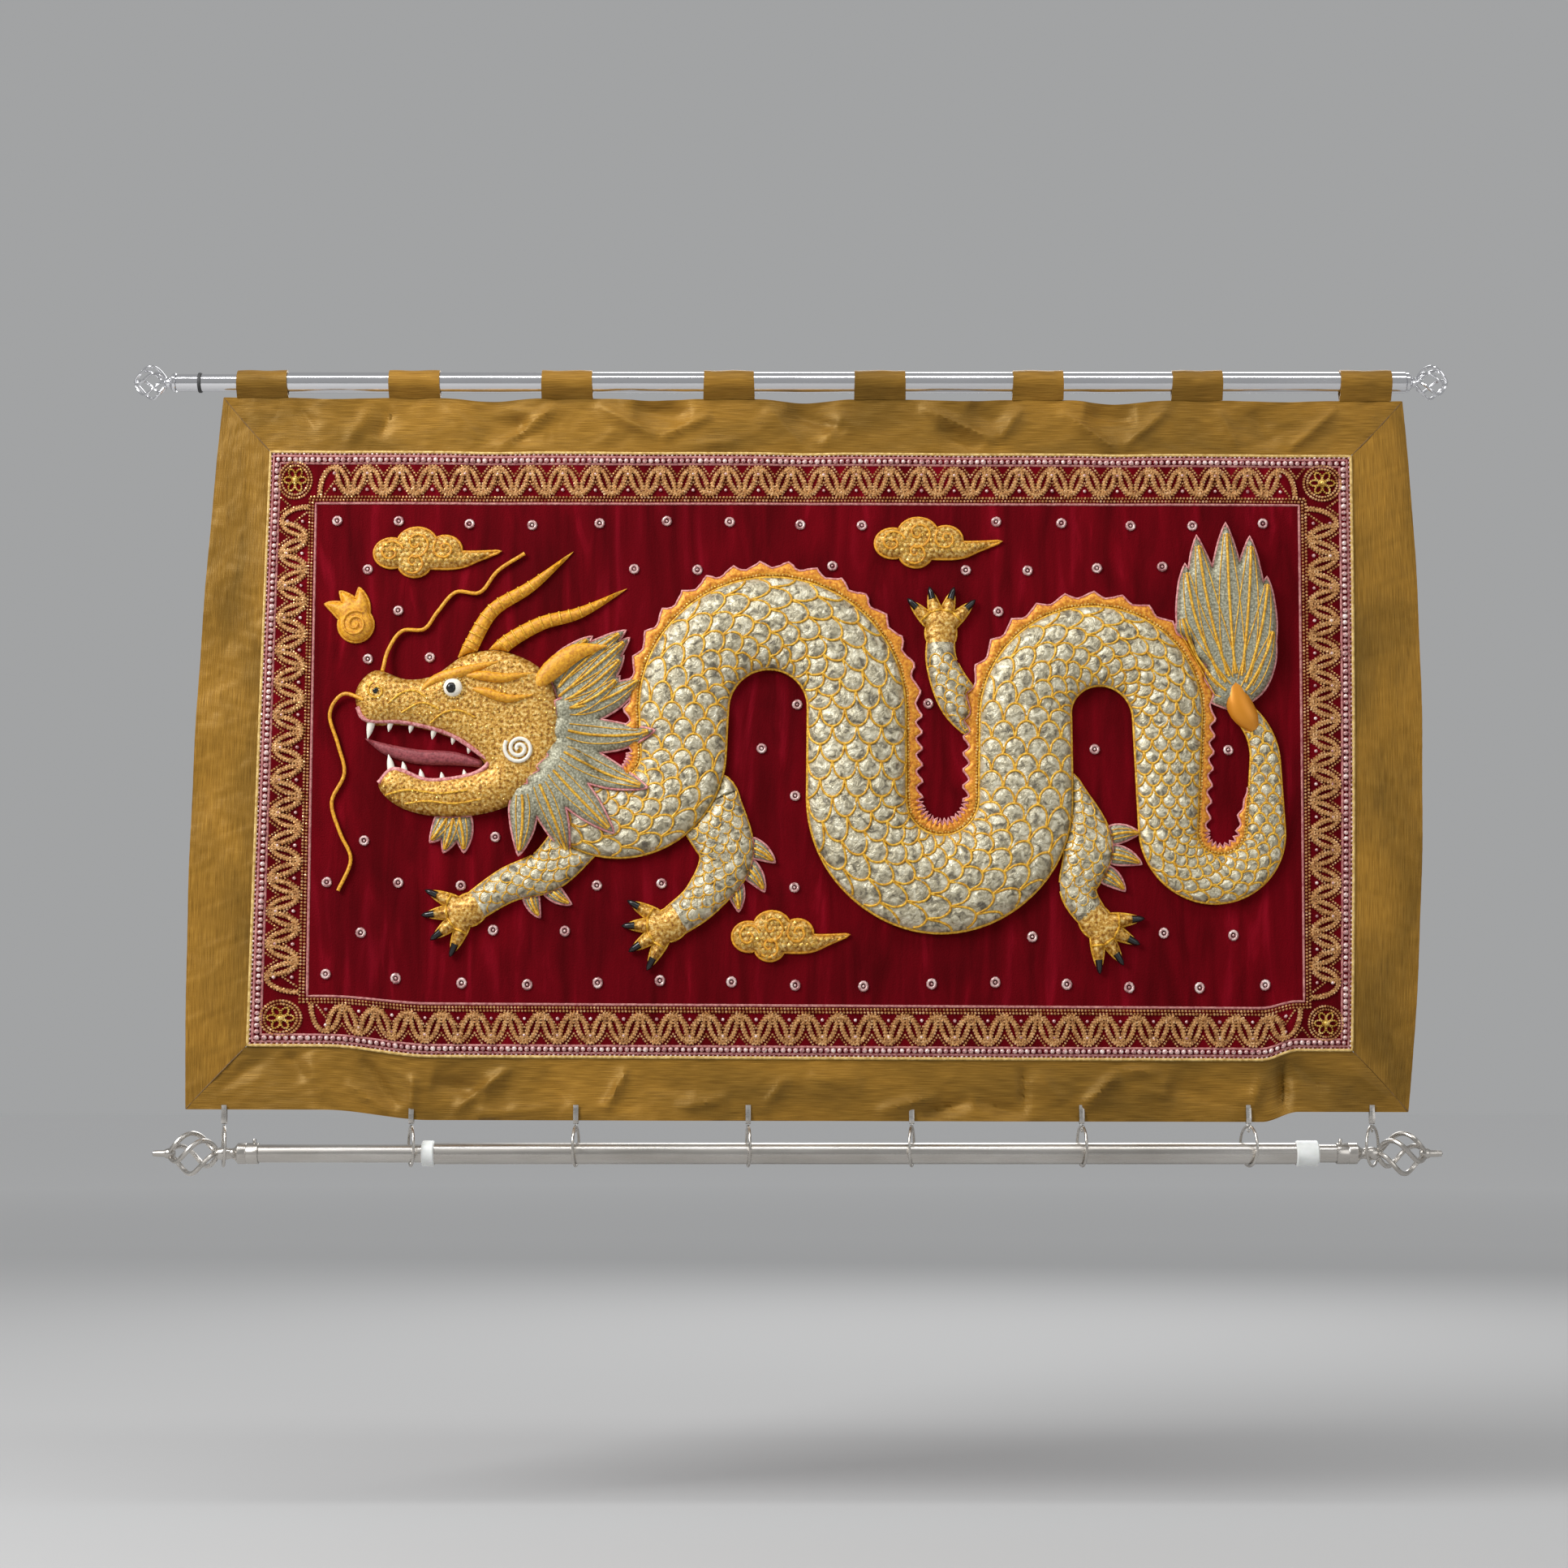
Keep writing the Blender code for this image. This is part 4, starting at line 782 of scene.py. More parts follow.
def bead_tree(name, along_paths, faceted):
    """Tree that sews beads on points, or evenly along paths: cupped sequins or round pearls."""
    tree, given, made = new_tree(
        name,
        (
            ("Base", "Geometry"), ("Spacing", "Float"), ("Radius", "Float"), ("Height", "Float"),
            ("Crown", "Float"), ("Sides", "Int"), ("Tilt", "Float"), ("Seed", "Int"),
            ("Finish", "Material"),
        ),
    )
    add, join = tree.nodes.new, tree.links.new
    base = given.outputs["Base"]
    if along_paths:
        to_curve = add("GeometryNodeMeshToCurve")
        resample = add("GeometryNodeResampleCurve")
        resample.mode = "LENGTH"
        join(base, to_curve.inputs["Mesh"])
        join(to_curve.outputs["Curve"], resample.inputs["Curve"])
        join(given.outputs["Spacing"], resample.inputs["Length"])
        base = resample.outputs["Curve"]
    if faceted:
        crown = add("ShaderNodeMath")
        crown.operation = "MULTIPLY"
        join(given.outputs["Radius"], crown.inputs[0])
        join(given.outputs["Crown"], crown.inputs[1])
        bead = add("GeometryNodeMeshCone")
        bead.fill_type = "NGON"
        join(given.outputs["Sides"], bead.inputs["Vertices"])
        join(crown.outputs[0], bead.inputs["Radius Top"])
        join(given.outputs["Radius"], bead.inputs["Radius Bottom"])
        join(given.outputs["Height"], bead.inputs["Depth"])
    else:
        bead = add("GeometryNodeMeshIcoSphere")
        join(given.outputs["Radius"], bead.inputs["Radius"])
        join(given.outputs["Sides"], bead.inputs["Subdivisions"])
    lean = add("FunctionNodeRandomValue")
    lean.data_type = "FLOAT_VECTOR"
    lean.inputs[0].default_value = (-1, -1, -1)
    lean.inputs[1].default_value = (1, 1, 1)
    join(given.outputs["Seed"], lean.inputs["Seed"])
    by_tilt = add("ShaderNodeVectorMath")
    by_tilt.operation = "SCALE"
    join(lean.outputs[0], by_tilt.inputs[0])
    join(given.outputs["Tilt"], by_tilt.inputs["Scale"])
    size = add("FunctionNodeRandomValue")
    size.data_type = "FLOAT"
    size.inputs[2].default_value = 0.88
    size.inputs[3].default_value = 1.10
    join(given.outputs["Seed"], size.inputs["Seed"])
    place = add("GeometryNodeInstanceOnPoints")
    join(base, place.inputs["Points"])
    join(bead.outputs["Mesh"], place.inputs["Instance"])
    join(by_tilt.outputs[0], place.inputs["Rotation"])
    join(size.outputs[1], place.inputs["Scale"])
    dressed(tree, given, made, place.outputs["Instances"], smooth=not faceted)
    return tree


def cord_tree():
    """Tree that lays a round cord along each path."""
    tree, given, made = new_tree(
        "laid cord",
        (("Base", "Geometry"), ("Radius", "Float"), ("Sides", "Int"), ("Finish", "Material")),
    )
    add, join = tree.nodes.new, tree.links.new
    to_curve = add("GeometryNodeMeshToCurve")
    circle = add("GeometryNodeCurvePrimitiveCircle")
    sweep = add("GeometryNodeCurveToMesh")
    sweep.inputs["Fill Caps"].default_value = True
    join(given.outputs["Base"], to_curve.inputs["Mesh"])
    join(given.outputs["Sides"], circle.inputs["Resolution"])
    join(given.outputs["Radius"], circle.inputs["Radius"])
    join(to_curve.outputs["Curve"], sweep.inputs["Curve"])
    join(circle.outputs["Curve"], sweep.inputs["Profile Curve"])
    dressed(tree, given, made, sweep.outputs["Mesh"], smooth=True)
    return tree


def grown_mesh(tree, paths, closed=False, **settings):
    """The plain mesh that a tree makes on some paths of places, still laid out flat."""
    points, edges = [], []
    for path in paths:
        first = len(points)
        points += np.asarray(path, float).tolist()
        edges += [(corner, corner + 1) for corner in range(first, len(points) - 1)]
        if closed:
            edges.append((len(points) - 1, first))
    base = bpy.data.meshes.new("bench")
    base.from_pydata(points, edges, [])
    bench = bpy.data.objects.new("bench", base)
    bpy.context.scene.collection.objects.link(bench)
    modifier = bench.modifiers.new("make", "NODES")
    modifier.node_group = tree
    for item in tree.interface.items_tree:
        if item.in_out == "INPUT" and item.name in settings:
            modifier[item.identifier] = settings[item.name]
    graph = bpy.context.evaluated_depsgraph_get()
    mesh = bpy.data.meshes.new_from_object(bench.evaluated_get(graph))
    mesh.materials.clear()
    mesh.materials.append(settings["Finish"])
    bpy.data.objects.remove(bench, do_unlink=True)
    bpy.data.meshes.remove(base)
    return mesh


def cords(paths, radius, finish, sides=6, closed=False):
    """The mesh of round cords along some paths, still laid out flat."""
    return grown_mesh(laid_cord, paths, closed, Radius=radius, Sides=sides, Finish=finish)


def pin_up(name, meshes):
    """One piece from meshes laid out flat, moved to where they hang on the velvet."""
    shell = bmesh.new()
    finishes = []
    for mesh in meshes:
        first_face = len(shell.faces)
        shell.from_mesh(mesh)
        shell.faces.ensure_lookup_table()
        for face in shell.faces[first_face:]:
            face.material_index = len(finishes)
        finishes.append(mesh.materials[0])
    places = sewn([corner.co for corner in shell.verts])
    for corner, place in zip(shell.verts, places):
        corner.co = place
    made = bpy.data.meshes.new(name)
    shell.to_mesh(made)
    shell.free()
    for finish in finishes:
        made.materials.append(finish)
    piece = bpy.data.objects.new(name, made)
    bpy.context.scene.collection.objects.link(piece)
    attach(piece, "root")
    return piece


sequin_rows = bead_tree("sequin rows", True, True)
pearl_rows = bead_tree("pearl rows", True, False)
sewn_sequins = bead_tree("sewn sequins", False, True)
sewn_pearls = bead_tree("sewn pearls", False, False)
laid_cord = cord_tree()


def spun(name, colour, roughness, metallic, source, tones, stops, weave=None):
    """Finish of thread, cloth or beads that changes tone from spot to spot, with a woven bump.

    Tones are features a metre, detail and distortion, and weave is features, detail and height.
    """
    finish = new_finish(name, colour, roughness, metallic)
    graded(finish, grain(finish, source, (tones[0],) * 3, *tones[1:]), stops)
    if weave:
        raised(finish, grain(finish, source, (weave[0],) * 3, weave[1]), weave[2])
    return finish


gold_sequins = spun(
    "gold and rose sequins", (0.62, 0.33, 0.12), 0.32, 0.5, "Object", (210, 2.0),
    ((0.30, (0.30, 0.11, 0.035)), (0.50, (0.62, 0.33, 0.12)), (0.70, (0.86, 0.58, 0.32))),
)
rose_silver = spun(
    "rose silver beads", (0.62, 0.40, 0.38), 0.25, 0.3, "Object", (210, 2.0),
    ((0.32, (0.34, 0.13, 0.14)), (0.50, (0.64, 0.40, 0.38)), (0.70, (0.92, 0.78, 0.74))),
)
gold_braid = spun(
    "woven gold braid", (0.42, 0.20, 0.06), 0.5, 0.35, "Object", (420, 2.0),
    ((0.32, (0.22, 0.08, 0.025)), (0.55, (0.50, 0.25, 0.08)), (0.74, (0.72, 0.44, 0.20))),
    (1100, 2.0, 0.0006),
)
rose_braid = spun(
    "rose braid", (0.42, 0.13, 0.13), 0.6, 0.0, "Object", (300, 2.0),
    ((0.3, (0.28, 0.06, 0.07)), (0.7, (0.56, 0.25, 0.22))), (1200, 2.0, 0.0004),
)
piping_silk = spun(
    "yellow piping silk", (0.62, 0.40, 0.11), 0.45, 0.0, "Object", (260, 2.0),
    ((0.3, (0.42, 0.25, 0.05)), (0.7, (0.78, 0.55, 0.20))), (1600, 1.0, 0.0003),
)
seam_thread = spun(
    "ochre seam thread", (0.13, 0.065, 0.010), 0.6, 0.0, "Object", (500, 2.0),
    ((0.3, (0.09, 0.042, 0.006)), (0.7, (0.18, 0.092, 0.015))),
)


def on_band(along, out, lift, half, runs_level, sign):
    """Places on one side of the band: along its edge, and out from the field."""
    along, out, lift = np.broadcast_arrays(along, out, lift)
    outwards = sign * (half + out)
    return np.stack([along, outwards, lift] if runs_level else [outwards, along, lift], axis=-1)


def rectangle(out, lift, step=0.012):
    """A closed path round the field, so far out from its edge."""
    wide, high = FIELD_HALF_WIDTH + out, FIELD_HALF_HEIGHT + out
    across, up = np.arange(-wide, wide, step), np.arange(-high, high, step)
    a = np.concatenate([across, np.full(len(up), wide), -across, np.full(len(up), -wide)])
    b = np.concatenate([np.full(len(across), -high), up, np.full(len(across), high), -up])
    return np.stack([a, b, np.full(len(a), lift)], axis=1)


for name, runs_level, length, half, signs in (
    ("level", True, FIELD_HALF_WIDTH, FIELD_HALF_HEIGHT, (1, -1)),
    ("upright", False, FIELD_HALF_HEIGHT, FIELD_HALF_WIDTH, (-1, 1)),
):
    rows, ribbons, notches, studs = [], [], [], []
    for sign in signs:
        count = round(2 * length / ARCH_PITCH)
        pitch = 2 * length / count
        sweep = np.linspace(0, math.pi, 19)
        for number in range(count):
            middle = -length + (number + 0.5) * pitch
            for inset, found, lift in (
                (0.0000, rows, PILE + 0.0008),
                (0.0030, rows, PILE + 0.0008),
                (0.0015, ribbons, PILE - 0.0002),
            ):
                wide, high = pitch / 2 - inset, ARCH_RISE - inset * 0.9
                arch = (middle + wide * np.cos(sweep), ARCH_FOOT + high * np.sin(sweep))
                found.append(on_band(*arch, lift, half, runs_level, sign))
                drop = (
                    middle + pitch / 2 + wide * np.cos(sweep),
                    ARCH_FOOT + ARCH_RISE - high * np.sin(sweep),
                )
                if number < count - 1:
                    found.append(on_band(*drop, lift + 0.0004, half, runs_level, sign))
            peak = np.array([-0.0082, 0.0, 0.0082])
            rise = ARCH_FOOT + np.array([0.0012, 0.0120, 0.0012])
            rows.append(on_band(middle + peak, rise, PILE, half, runs_level, sign))
            fall = ARCH_FOOT + ARCH_RISE - np.array([0.0, 0.0085, 0.0])
            notches.append(on_band(middle + pitch / 2 + peak * 0.8, fall, PILE, half, runs_level, sign))
            studs.append(on_band(middle, ARCH_FOOT + 0.0048, PILE + 0.0008, half, runs_level, sign))
            studs.append(on_band(middle, ARCH_FOOT + 0.0190, PILE + 0.0010, half, runs_level, sign))
    lattice = grown_mesh(
        sequin_rows, rows + notches, Spacing=SEQUIN_SPACING, Radius=SEQUIN, Height=0.0011,
        Crown=0.5, Sides=5, Tilt=0.22, Seed=11, Finish=gold_sequins,
    )
    ground = cords(ribbons, 0.0019, gold_braid)
    buttons = grown_mesh(
        sewn_pearls, [[stud] for stud in studs], Radius=0.0017, Sides=1, Tilt=0.4, Seed=5,
        Finish=rose_silver,
    )
    pin_up(f"border_arches_{name}", [lattice, buttons, ground])

roundels, petals, hearts = [], [], []
for corner_a in (-1, 1):
    for corner_b in (-1, 1):
        middle = np.array(
            [
                corner_a * (FIELD_HALF_WIDTH + BAND * 0.47),
                corner_b * (FIELD_HALF_HEIGHT + BAND * 0.47),
                PILE + 0.0004,
            ]
        )
        for radius in (0.0158, 0.0128):
            sweep = np.linspace(0, math.tau, 40)
            ring = np.stack([np.cos(sweep), np.sin(sweep), 0 * sweep], axis=1)
            roundels.append(middle + radius * ring)
        for petal in range(6):
            heading = math.tau * petal / 6
            sweep = np.linspace(0, math.tau, 12)
            leaf_a = 0.0066 + 0.0040 * np.cos(sweep)
            leaf_b = 0.0027 * np.sin(sweep)
            petals.append(
                middle
                + np.stack(
                    [
                        leaf_a * math.cos(heading) - leaf_b * math.sin(heading),
                        leaf_a * math.sin(heading) + leaf_b * math.cos(heading),
                        0 * sweep + 0.0004,
                    ],
                    axis=1,
                )
            )
        hearts.append([middle + (0, 0, 0.0012)])
yellow_sequins = spun(
    "yellow gold sequins", (0.70, 0.45, 0.10), 0.32, 0.5, "Object", (210, 2.0),
    ((0.30, (0.40, 0.22, 0.03)), (0.50, (0.72, 0.47, 0.10)), (0.70, (0.95, 0.74, 0.30))),
)
pin_up(
    "border_roundels",
    [
        grown_mesh(
            sequin_rows, roundels, Spacing=0.0025, Radius=0.0013, Height=0.0012, Crown=0.5, Sides=6,
            Tilt=0.2, Seed=3, Finish=gold_sequins,
        ),
        grown_mesh(
            sequin_rows, petals, Spacing=0.0019, Radius=0.0011, Height=0.0012, Crown=0.4, Sides=5,
            Tilt=0.2, Seed=4, Finish=yellow_sequins,
        ),
        grown_mesh(
            sewn_pearls, hearts, Radius=0.0030, Sides=1, Tilt=0.3, Seed=2, Finish=yellow_sequins,
        ),
    ],
)

pin_up(
    "border_rows",
    [
        grown_mesh(
            pearl_rows, [rectangle(0.0400, PILE + 0.0010)], closed=True, Spacing=0.0056,
            Radius=0.0026, Sides=1, Tilt=0.5, Seed=21, Finish=rose_silver,
        ),
        grown_mesh(
            sequin_rows, [rectangle(0.0452, PILE)], closed=True, Spacing=0.0042, Radius=0.0013,
            Height=0.0012, Crown=0.5, Sides=6, Tilt=0.2, Seed=22, Finish=rose_silver,
        ),
        grown_mesh(
            sequin_rows, [rectangle(0.0048, PILE + 0.0004), rectangle(0.0076, PILE + 0.0004)],
            closed=True, Spacing=0.0031, Radius=0.0013, Height=0.0013, Crown=0.45, Sides=5,
            Tilt=0.25, Seed=23, Finish=gold_sequins,
        ),
    ],
)
pin_up(
    "border_braid",
    [
        cords(
            [rectangle(out, PILE - 0.0004, 0.006) for out in (0.0020, 0.0371, 0.0433)], 0.0013,
            rose_braid, closed=True,
        )
    ],
)
piped = [rectangle(BAND - 0.0002, PILE + 0.0002, 0.005)]
pin_up("seam_piping", [cords(piped, 0.0014, piping_silk, 8, closed=True)])
mitre_seams = []
for side, edge, seam in (
    (1, 0.0, VELVET_TOP), (-1, 0.0, VELVET_TOP),
    (1, CLOTH_HEIGHT, VELVET_BOTTOM), (-1, CLOTH_HEIGHT, VELVET_BOTTOM),
):
    share = np.linspace(0.01, 0.97, 40)
    outer, inner = CLOTH_WIDTH / 2, VELVET_HALF_WIDTH
    seam_b = FIELD_MIDDLE - (edge + (seam - edge) * share)
    mitre_seams.append(
        np.column_stack([side * (outer + (inner - outer) * share), seam_b, np.full(40, 0.0002)])
    )
pin_up("mitre_seams", [cords(mitre_seams, 0.0008, seam_thread)])


# The beast's body: one long band of silver cloth, padded in staggered scales, with a gold cord
# couched round the free edge of each. It winds from the neck to the tail along six arcs.
LINING, RIM, CLEAR = 0.0005, 0.0010, 0.0006
BASE = PILE + LINING
BODY_ARCS = (
    # centre a, b, radius, first and last degrees, first and last half-width
    (-0.171, -0.004, 0.060, 205, 360, 0.033, 0.038), (-0.033, 0.036, 0.078, 180, 0, 0.040, 0.044),
    (0.121, -0.045, 0.076, 180, 360, 0.0445, 0.042), (0.261, 0.030, 0.064, 180, 0, 0.041, 0.031),
    (0.369, -0.072, 0.044, 180, 360, 0.026, 0.017), (0.353, -0.010, 0.060, 0, 48, 0.013, 0.009),
)
BODY_PUFF, SCALE_PUFF = 0.33, 0.0028
ROW_SHARE = 0.72
BODY_STEP, BODY_COLUMNS = 0.0021, 45


def sides_of(path):
    """Unit vectors to the left of a path's points."""
    ahead = np.gradient(path[:, :2], axis=0)
    ahead /= np.linalg.norm(ahead, axis=1)[:, None]
    return np.stack([-ahead[:, 1], ahead[:, 0]], axis=1)


def body_path(step):
    """Points and half-widths (a, b, half-width) evenly spaced down the middle of the body."""
    rows = []
    for a, b, radius, first, last, start_half, end_half in BODY_ARCS:
        share = np.linspace(0, 1, 40)
        turn = np.radians(first + (last - first) * share)
        half = start_half + (end_half - start_half) * share
        rows.append(np.stack([a + radius * np.cos(turn), b + radius * np.sin(turn), half], axis=1))
    rows = np.concatenate(rows)
    run = np.concatenate([[0], np.cumsum(np.linalg.norm(np.diff(rows[:, :2], axis=0), axis=1))])
    stations = np.linspace(0, run[-1], round(run[-1] / step) + 1)
    return np.stack([np.interp(stations, run, column) for column in rows.T], axis=1)


def free_edge(row, across):
    """Where the free edge of a row of scales lies at places across it, counted in rows."""
    off = across - row / 2
    off -= np.round(off)
    return row + np.sqrt(np.clip(1 - (2 * off) ** 2, 0, 1))


def scale_swell(row, across):
    """Swell, from 0 to 1, of the staggered scales at places down and across a scaled surface."""
    behind = np.floor(row)
    shows = np.where(row <= free_edge(behind, across), behind, behind + 1)
    to_edge = free_edge(shows, across) - row
    from_root = row - free_edge(shows - 1, across)
    rise = 1 - (1 - np.clip(to_edge / 0.42, 0, 1)) ** 2
    return rise * (1 - (1 - np.clip(from_root / 0.75, 0, 1)) ** 2) * (0.8 + 0.2 / (1 + to_edge))


body = body_path(BODY_STEP)
body_side = sides_of(body)
scale_width = np.clip(body[:, 2] / 2, 0.0125, 0.022)
scale_row = np.cumsum(BODY_STEP / (ROW_SHARE * scale_width))
stations = np.arange(len(body))


def on_body(row, share, rise, padded=False):
    """Places on the body's surface, share across it from -1 to 1, with a rise above the dome."""
    row, share = np.broadcast_arrays(np.asarray(row, float), np.asarray(share, float))
    station = np.interp(row, scale_row, stations)
    half = np.interp(station, stations, body[:, 2])
    width = np.interp(station, stations, scale_width)
    a, b = (
        np.interp(station, stations, body[:, column])
        + np.interp(station, stations, body_side[:, column]) * share * half
        for column in (0, 1)
    )
    rounding = np.sqrt(np.clip(1 - share**2, 0, 1))
    lift = BASE + RIM + BODY_PUFF * half * rounding + rise
    if padded:
        lift = lift + SCALE_PUFF * np.minimum(rounding * 2, 1) * scale_swell(row, share * half / width)
    return np.stack([a, b, lift], axis=-1)


def tube_piece(name, node, front, finish, slot):
    """A closed padded piece from rows of front points laid out flat, with a plain back on the velvet."""
    left, right = front[:, :1].copy(), front[:, -1:].copy()
    left[..., 2] = right[..., 2] = BASE
    rows = np.concatenate([left, front, right], axis=1)
    count, columns = rows.shape[:2]
    faces = []
    for row in range(count - 1):
        for column in range(columns):
            beside = (column + 1) % columns
            near, far = row * columns, (row + 1) * columns
            faces.append([near + column, near + beside, far + beside, far + column])
    faces += [list(range(columns))[::-1], list(range((count - 1) * columns, count * columns))]
    piece = make_piece(name, sewn(rows), faces, [finish], slot, node, rows.reshape(-1, 3)[:, :2])


silver_cloth = spun(
    "silver padded cloth", (0.50, 0.44, 0.29), 0.36, 0.35, "UV", (150, 4.0, 0.8),
    ((0.34, (0.15, 0.13, 0.09)), (0.48, (0.44, 0.39, 0.26)), (0.68, (0.78, 0.73, 0.56))),
    (1400, 2.0, 0.0003),
)
raised(silver_cloth, grain(silver_cloth, "UV", (130, 130, 130), 3.0, 1.5), 0.0022)
gold_cord = spun(
    "couched gold cord", (0.72, 0.38, 0.018), 0.40, 0.2, "Object", (420, 2.0),
    ((0.32, (0.44, 0.19, 0.006)), (0.55, (0.74, 0.40, 0.020)), (0.74, (0.92, 0.62, 0.10))),
    (1500, 1.0, 0.0003),
)

spread = np.linspace(-1, 1, BODY_COLUMNS)
spread = 0.55 * spread + 0.45 * np.sin(spread * math.pi / 2)
front = on_body(scale_row[:, None], spread[None, :], 0.0, padded=True)
tube_piece("body_scales", "beast_body", front, silver_cloth, "silver_cloth")

couched = []
for row in range(int(scale_row[-1])):
    half_count = np.interp(row + 0.5, scale_row, body[:, 2] / scale_width)
    sweep = np.linspace(-0.5, 0.5, 13)
    for middle in np.arange(-4, 4.5) + (row % 2) / 2:
        across = middle + sweep
        held = np.abs(across) < half_count
        if held.sum() > 2:
            across = across[held]
            edge = np.minimum(free_edge(row, across), scale_row[-1])
            couched.append(on_body(edge, across / half_count, 0.0009))
edges = [on_body(scale_row, side * 0.995, 0.0002) for side in (-1.0, 1.0)]
pin_up(
    "body_cords",
    [
        cords(couched, 0.00115, gold_cord),
        cords(edges, 0.0014, gold_cord, 8),
    ],
)


# Crest: a pleated band of orange-gold cloth with swept points, sewn along the back of the body and
# edged with a rose cord outside and gold sequins inside.
CREST_WIDTH, CREST_POINT, CREST_PITCH, CREST_INSET = 0.0078, 0.0066, 0.0148, 0.074
bare_steps = round(CREST_INSET / BODY_STEP)
crest_span = slice(bare_steps, -bare_steps)
crest_path, crest_side = body[crest_span], body_side[crest_span]
crest_run = np.arange(len(crest_path))[:, None] * BODY_STEP / CREST_PITCH
crest_taper = np.sqrt(crest_path[:, 2:3] / 0.040)
crest_taper *= 0.12 + 0.88 * ease(crest_run, 0, 2) * ease(crest_run[::-1], 0, 2)
point_share = crest_run % 1.0
swept = np.where(point_share < 0.62, point_share / 0.62, (1 - point_share) / 0.38) ** 1.4
reach = (CREST_WIDTH + CREST_POINT * swept) * crest_taper
root = crest_path[:, :2] + crest_side * (crest_path[:, 2:3] + CLEAR)
across = np.linspace(1, 0, 7)[None, :]
crest_ab = root[:, None, :] + crest_side[:, None, :] * (reach * across)[..., None]
pleats = 0.0005 * np.abs(np.sin(math.pi * 4 * crest_run))
crest_lift = BASE + RIM + 0.0026 * np.sin(math.pi * np.clip(across * 0.9 + 0.1, 0, 1)) + pleats * across
front = np.concatenate([crest_ab, crest_lift[..., None]], axis=2)
orange_gold = spun(
    "orange gold cloth", (0.66, 0.27, 0.025), 0.42, 0.3, "UV", (360, 3.0),
    ((0.30, (0.40, 0.10, 0.004)), (0.52, (0.68, 0.26, 0.014)), (0.75, (0.86, 0.46, 0.06))),
    (1400, 2.0, 0.0003),
)
tube_piece("crest_band", "beast_crest", front, orange_gold, "gold_cloth")
rose_cord = spun(
    "rose couched cord", (0.62, 0.20, 0.22), 0.45, 0.0, "Object", (420, 2.0),
    ((0.30, (0.40, 0.08, 0.09)), (0.70, (0.78, 0.38, 0.36))),
)
outer_edge = np.concatenate([crest_ab[:, 0], np.full((len(crest_ab), 1), BASE + 0.0012)], axis=1)
inner_edge = np.concatenate([crest_ab[:, -2], np.full((len(crest_ab), 1), BASE + 0.0030)], axis=1)
pin_up(
    "crest_edging",
    [
        cords([outer_edge], 0.0011, rose_cord),
        grown_mesh(
            sequin_rows, [inner_edge], Spacing=0.0030, Radius=0.0013, Height=0.0012, Crown=0.5,
            Sides=6, Tilt=0.25, Seed=31, Finish=yellow_sequins,
        ),
    ],
)


# The beast's head and horns: stuffed pieces of gold-speckled cloth and yellow silk, cut to an outline
# and domed from their edges, with beads, a tongue, teeth and couched cords sewn on.
def smooth_path(rows, per_span):
    """A smooth curve through rows of numbers, per_span samples to each span."""
    rows = np.array(rows, float)
    before = np.vstack([2 * rows[0] - rows[1], rows, 2 * rows[-1] - rows[-2]])
    found = []
    for start in range(len(rows) - 1):
        p0, p1, p2, p3 = before[start : start + 4]
        for step in range(per_span):
            t = step / per_span
            bend = 2 * p0 - 5 * p1 + 4 * p2 - p3
            twist = 3 * p1 - p0 - 3 * p2 + p3
            found.append(0.5 * (2 * p1 + (p2 - p0) * t + bend * t**2 + twist * t**3))
    return np.array([*found, rows[-1]])


def band(rows, per_span=6, pointed=False):
    """Outline of a band along a smooth path, rows of (a, b, half-width), round or pointed at its end."""
    path = smooth_path(rows, per_span)
    side = sides_of(path)
    reach = path[:, 2:3]
    right, left = path[:, :2] - side * reach, path[:, :2] + side * reach
    if pointed:
        return np.concatenate([right[:-1], path[-1:, :2], left[-2::-1]])
    ahead = np.array([side[-1][1], -side[-1][0]])
    cap = [
        path[-1, :2] + reach[-1] * (ahead * math.cos(turn) + side[-1] * math.sin(turn))
        for turn in (-0.8, -0.4, 0, 0.4, 0.8)
    ]
    return np.concatenate([right, cap, left[::-1]])


def blob(a, b, wide, high, lean=0.0, count=28):
    """Outline of an oval, leaning by an angle in degrees."""
    turns = np.arange(count) * math.tau / count
    across, up = wide * np.cos(turns), high * np.sin(turns)
    lean = math.radians(lean)
    return np.stack(
        [
            a + across * math.cos(lean) - up * math.sin(lean),
            b + across * math.sin(lean) + up * math.cos(lean),
        ],
        axis=1,
    )


def lock_rows(base, heading, length, half_width, bow):
    """Rows (a, b, half-width) of a pointed lock that turns by bow degrees on its way."""
    a, b = base
    rows = []
    for share, swell in ((0.0, 0.55), (0.3, 1.0), (0.6, 0.85), (0.85, 0.42), (1.0, 0.02)):
        angle = math.radians(heading + bow * share)
        along = length * share
        rows.append((a + along * math.cos(angle), b + along * math.sin(angle), half_width * swell))
    return rows


def closed_curve(rows, per_span=6):
    """Outline that runs smoothly through a closed row of points."""
    count = len(rows)
    looped = [rows[i % count] for i in range(-1, count + 2)]
    path = smooth_path(looped, per_span)
    return path[per_span : per_span * (count + 1)]


def grown(outline, by):
    """The outline moved outwards."""
    following, before = np.roll(outline, -1, axis=0), np.roll(outline, 1, axis=0)
    ahead = following - before
    ahead /= np.linalg.norm(ahead, axis=1)[:, None]
    return outline + by * np.stack([ahead[:, 1], -ahead[:, 0]], axis=1)


def edge_distance(points, starts, ends):
    """Distance of each point to the nearest of the segments."""
    nearest = np.full(len(points), np.inf)
    for start, end in zip(starts, ends):
        along = end - start
        share = np.clip((points - start) @ along / max(along @ along, 1e-12), 0, 1)
        nearest = np.minimum(nearest, np.linalg.norm(points - start - share[:, None] * along, axis=1))
    return nearest


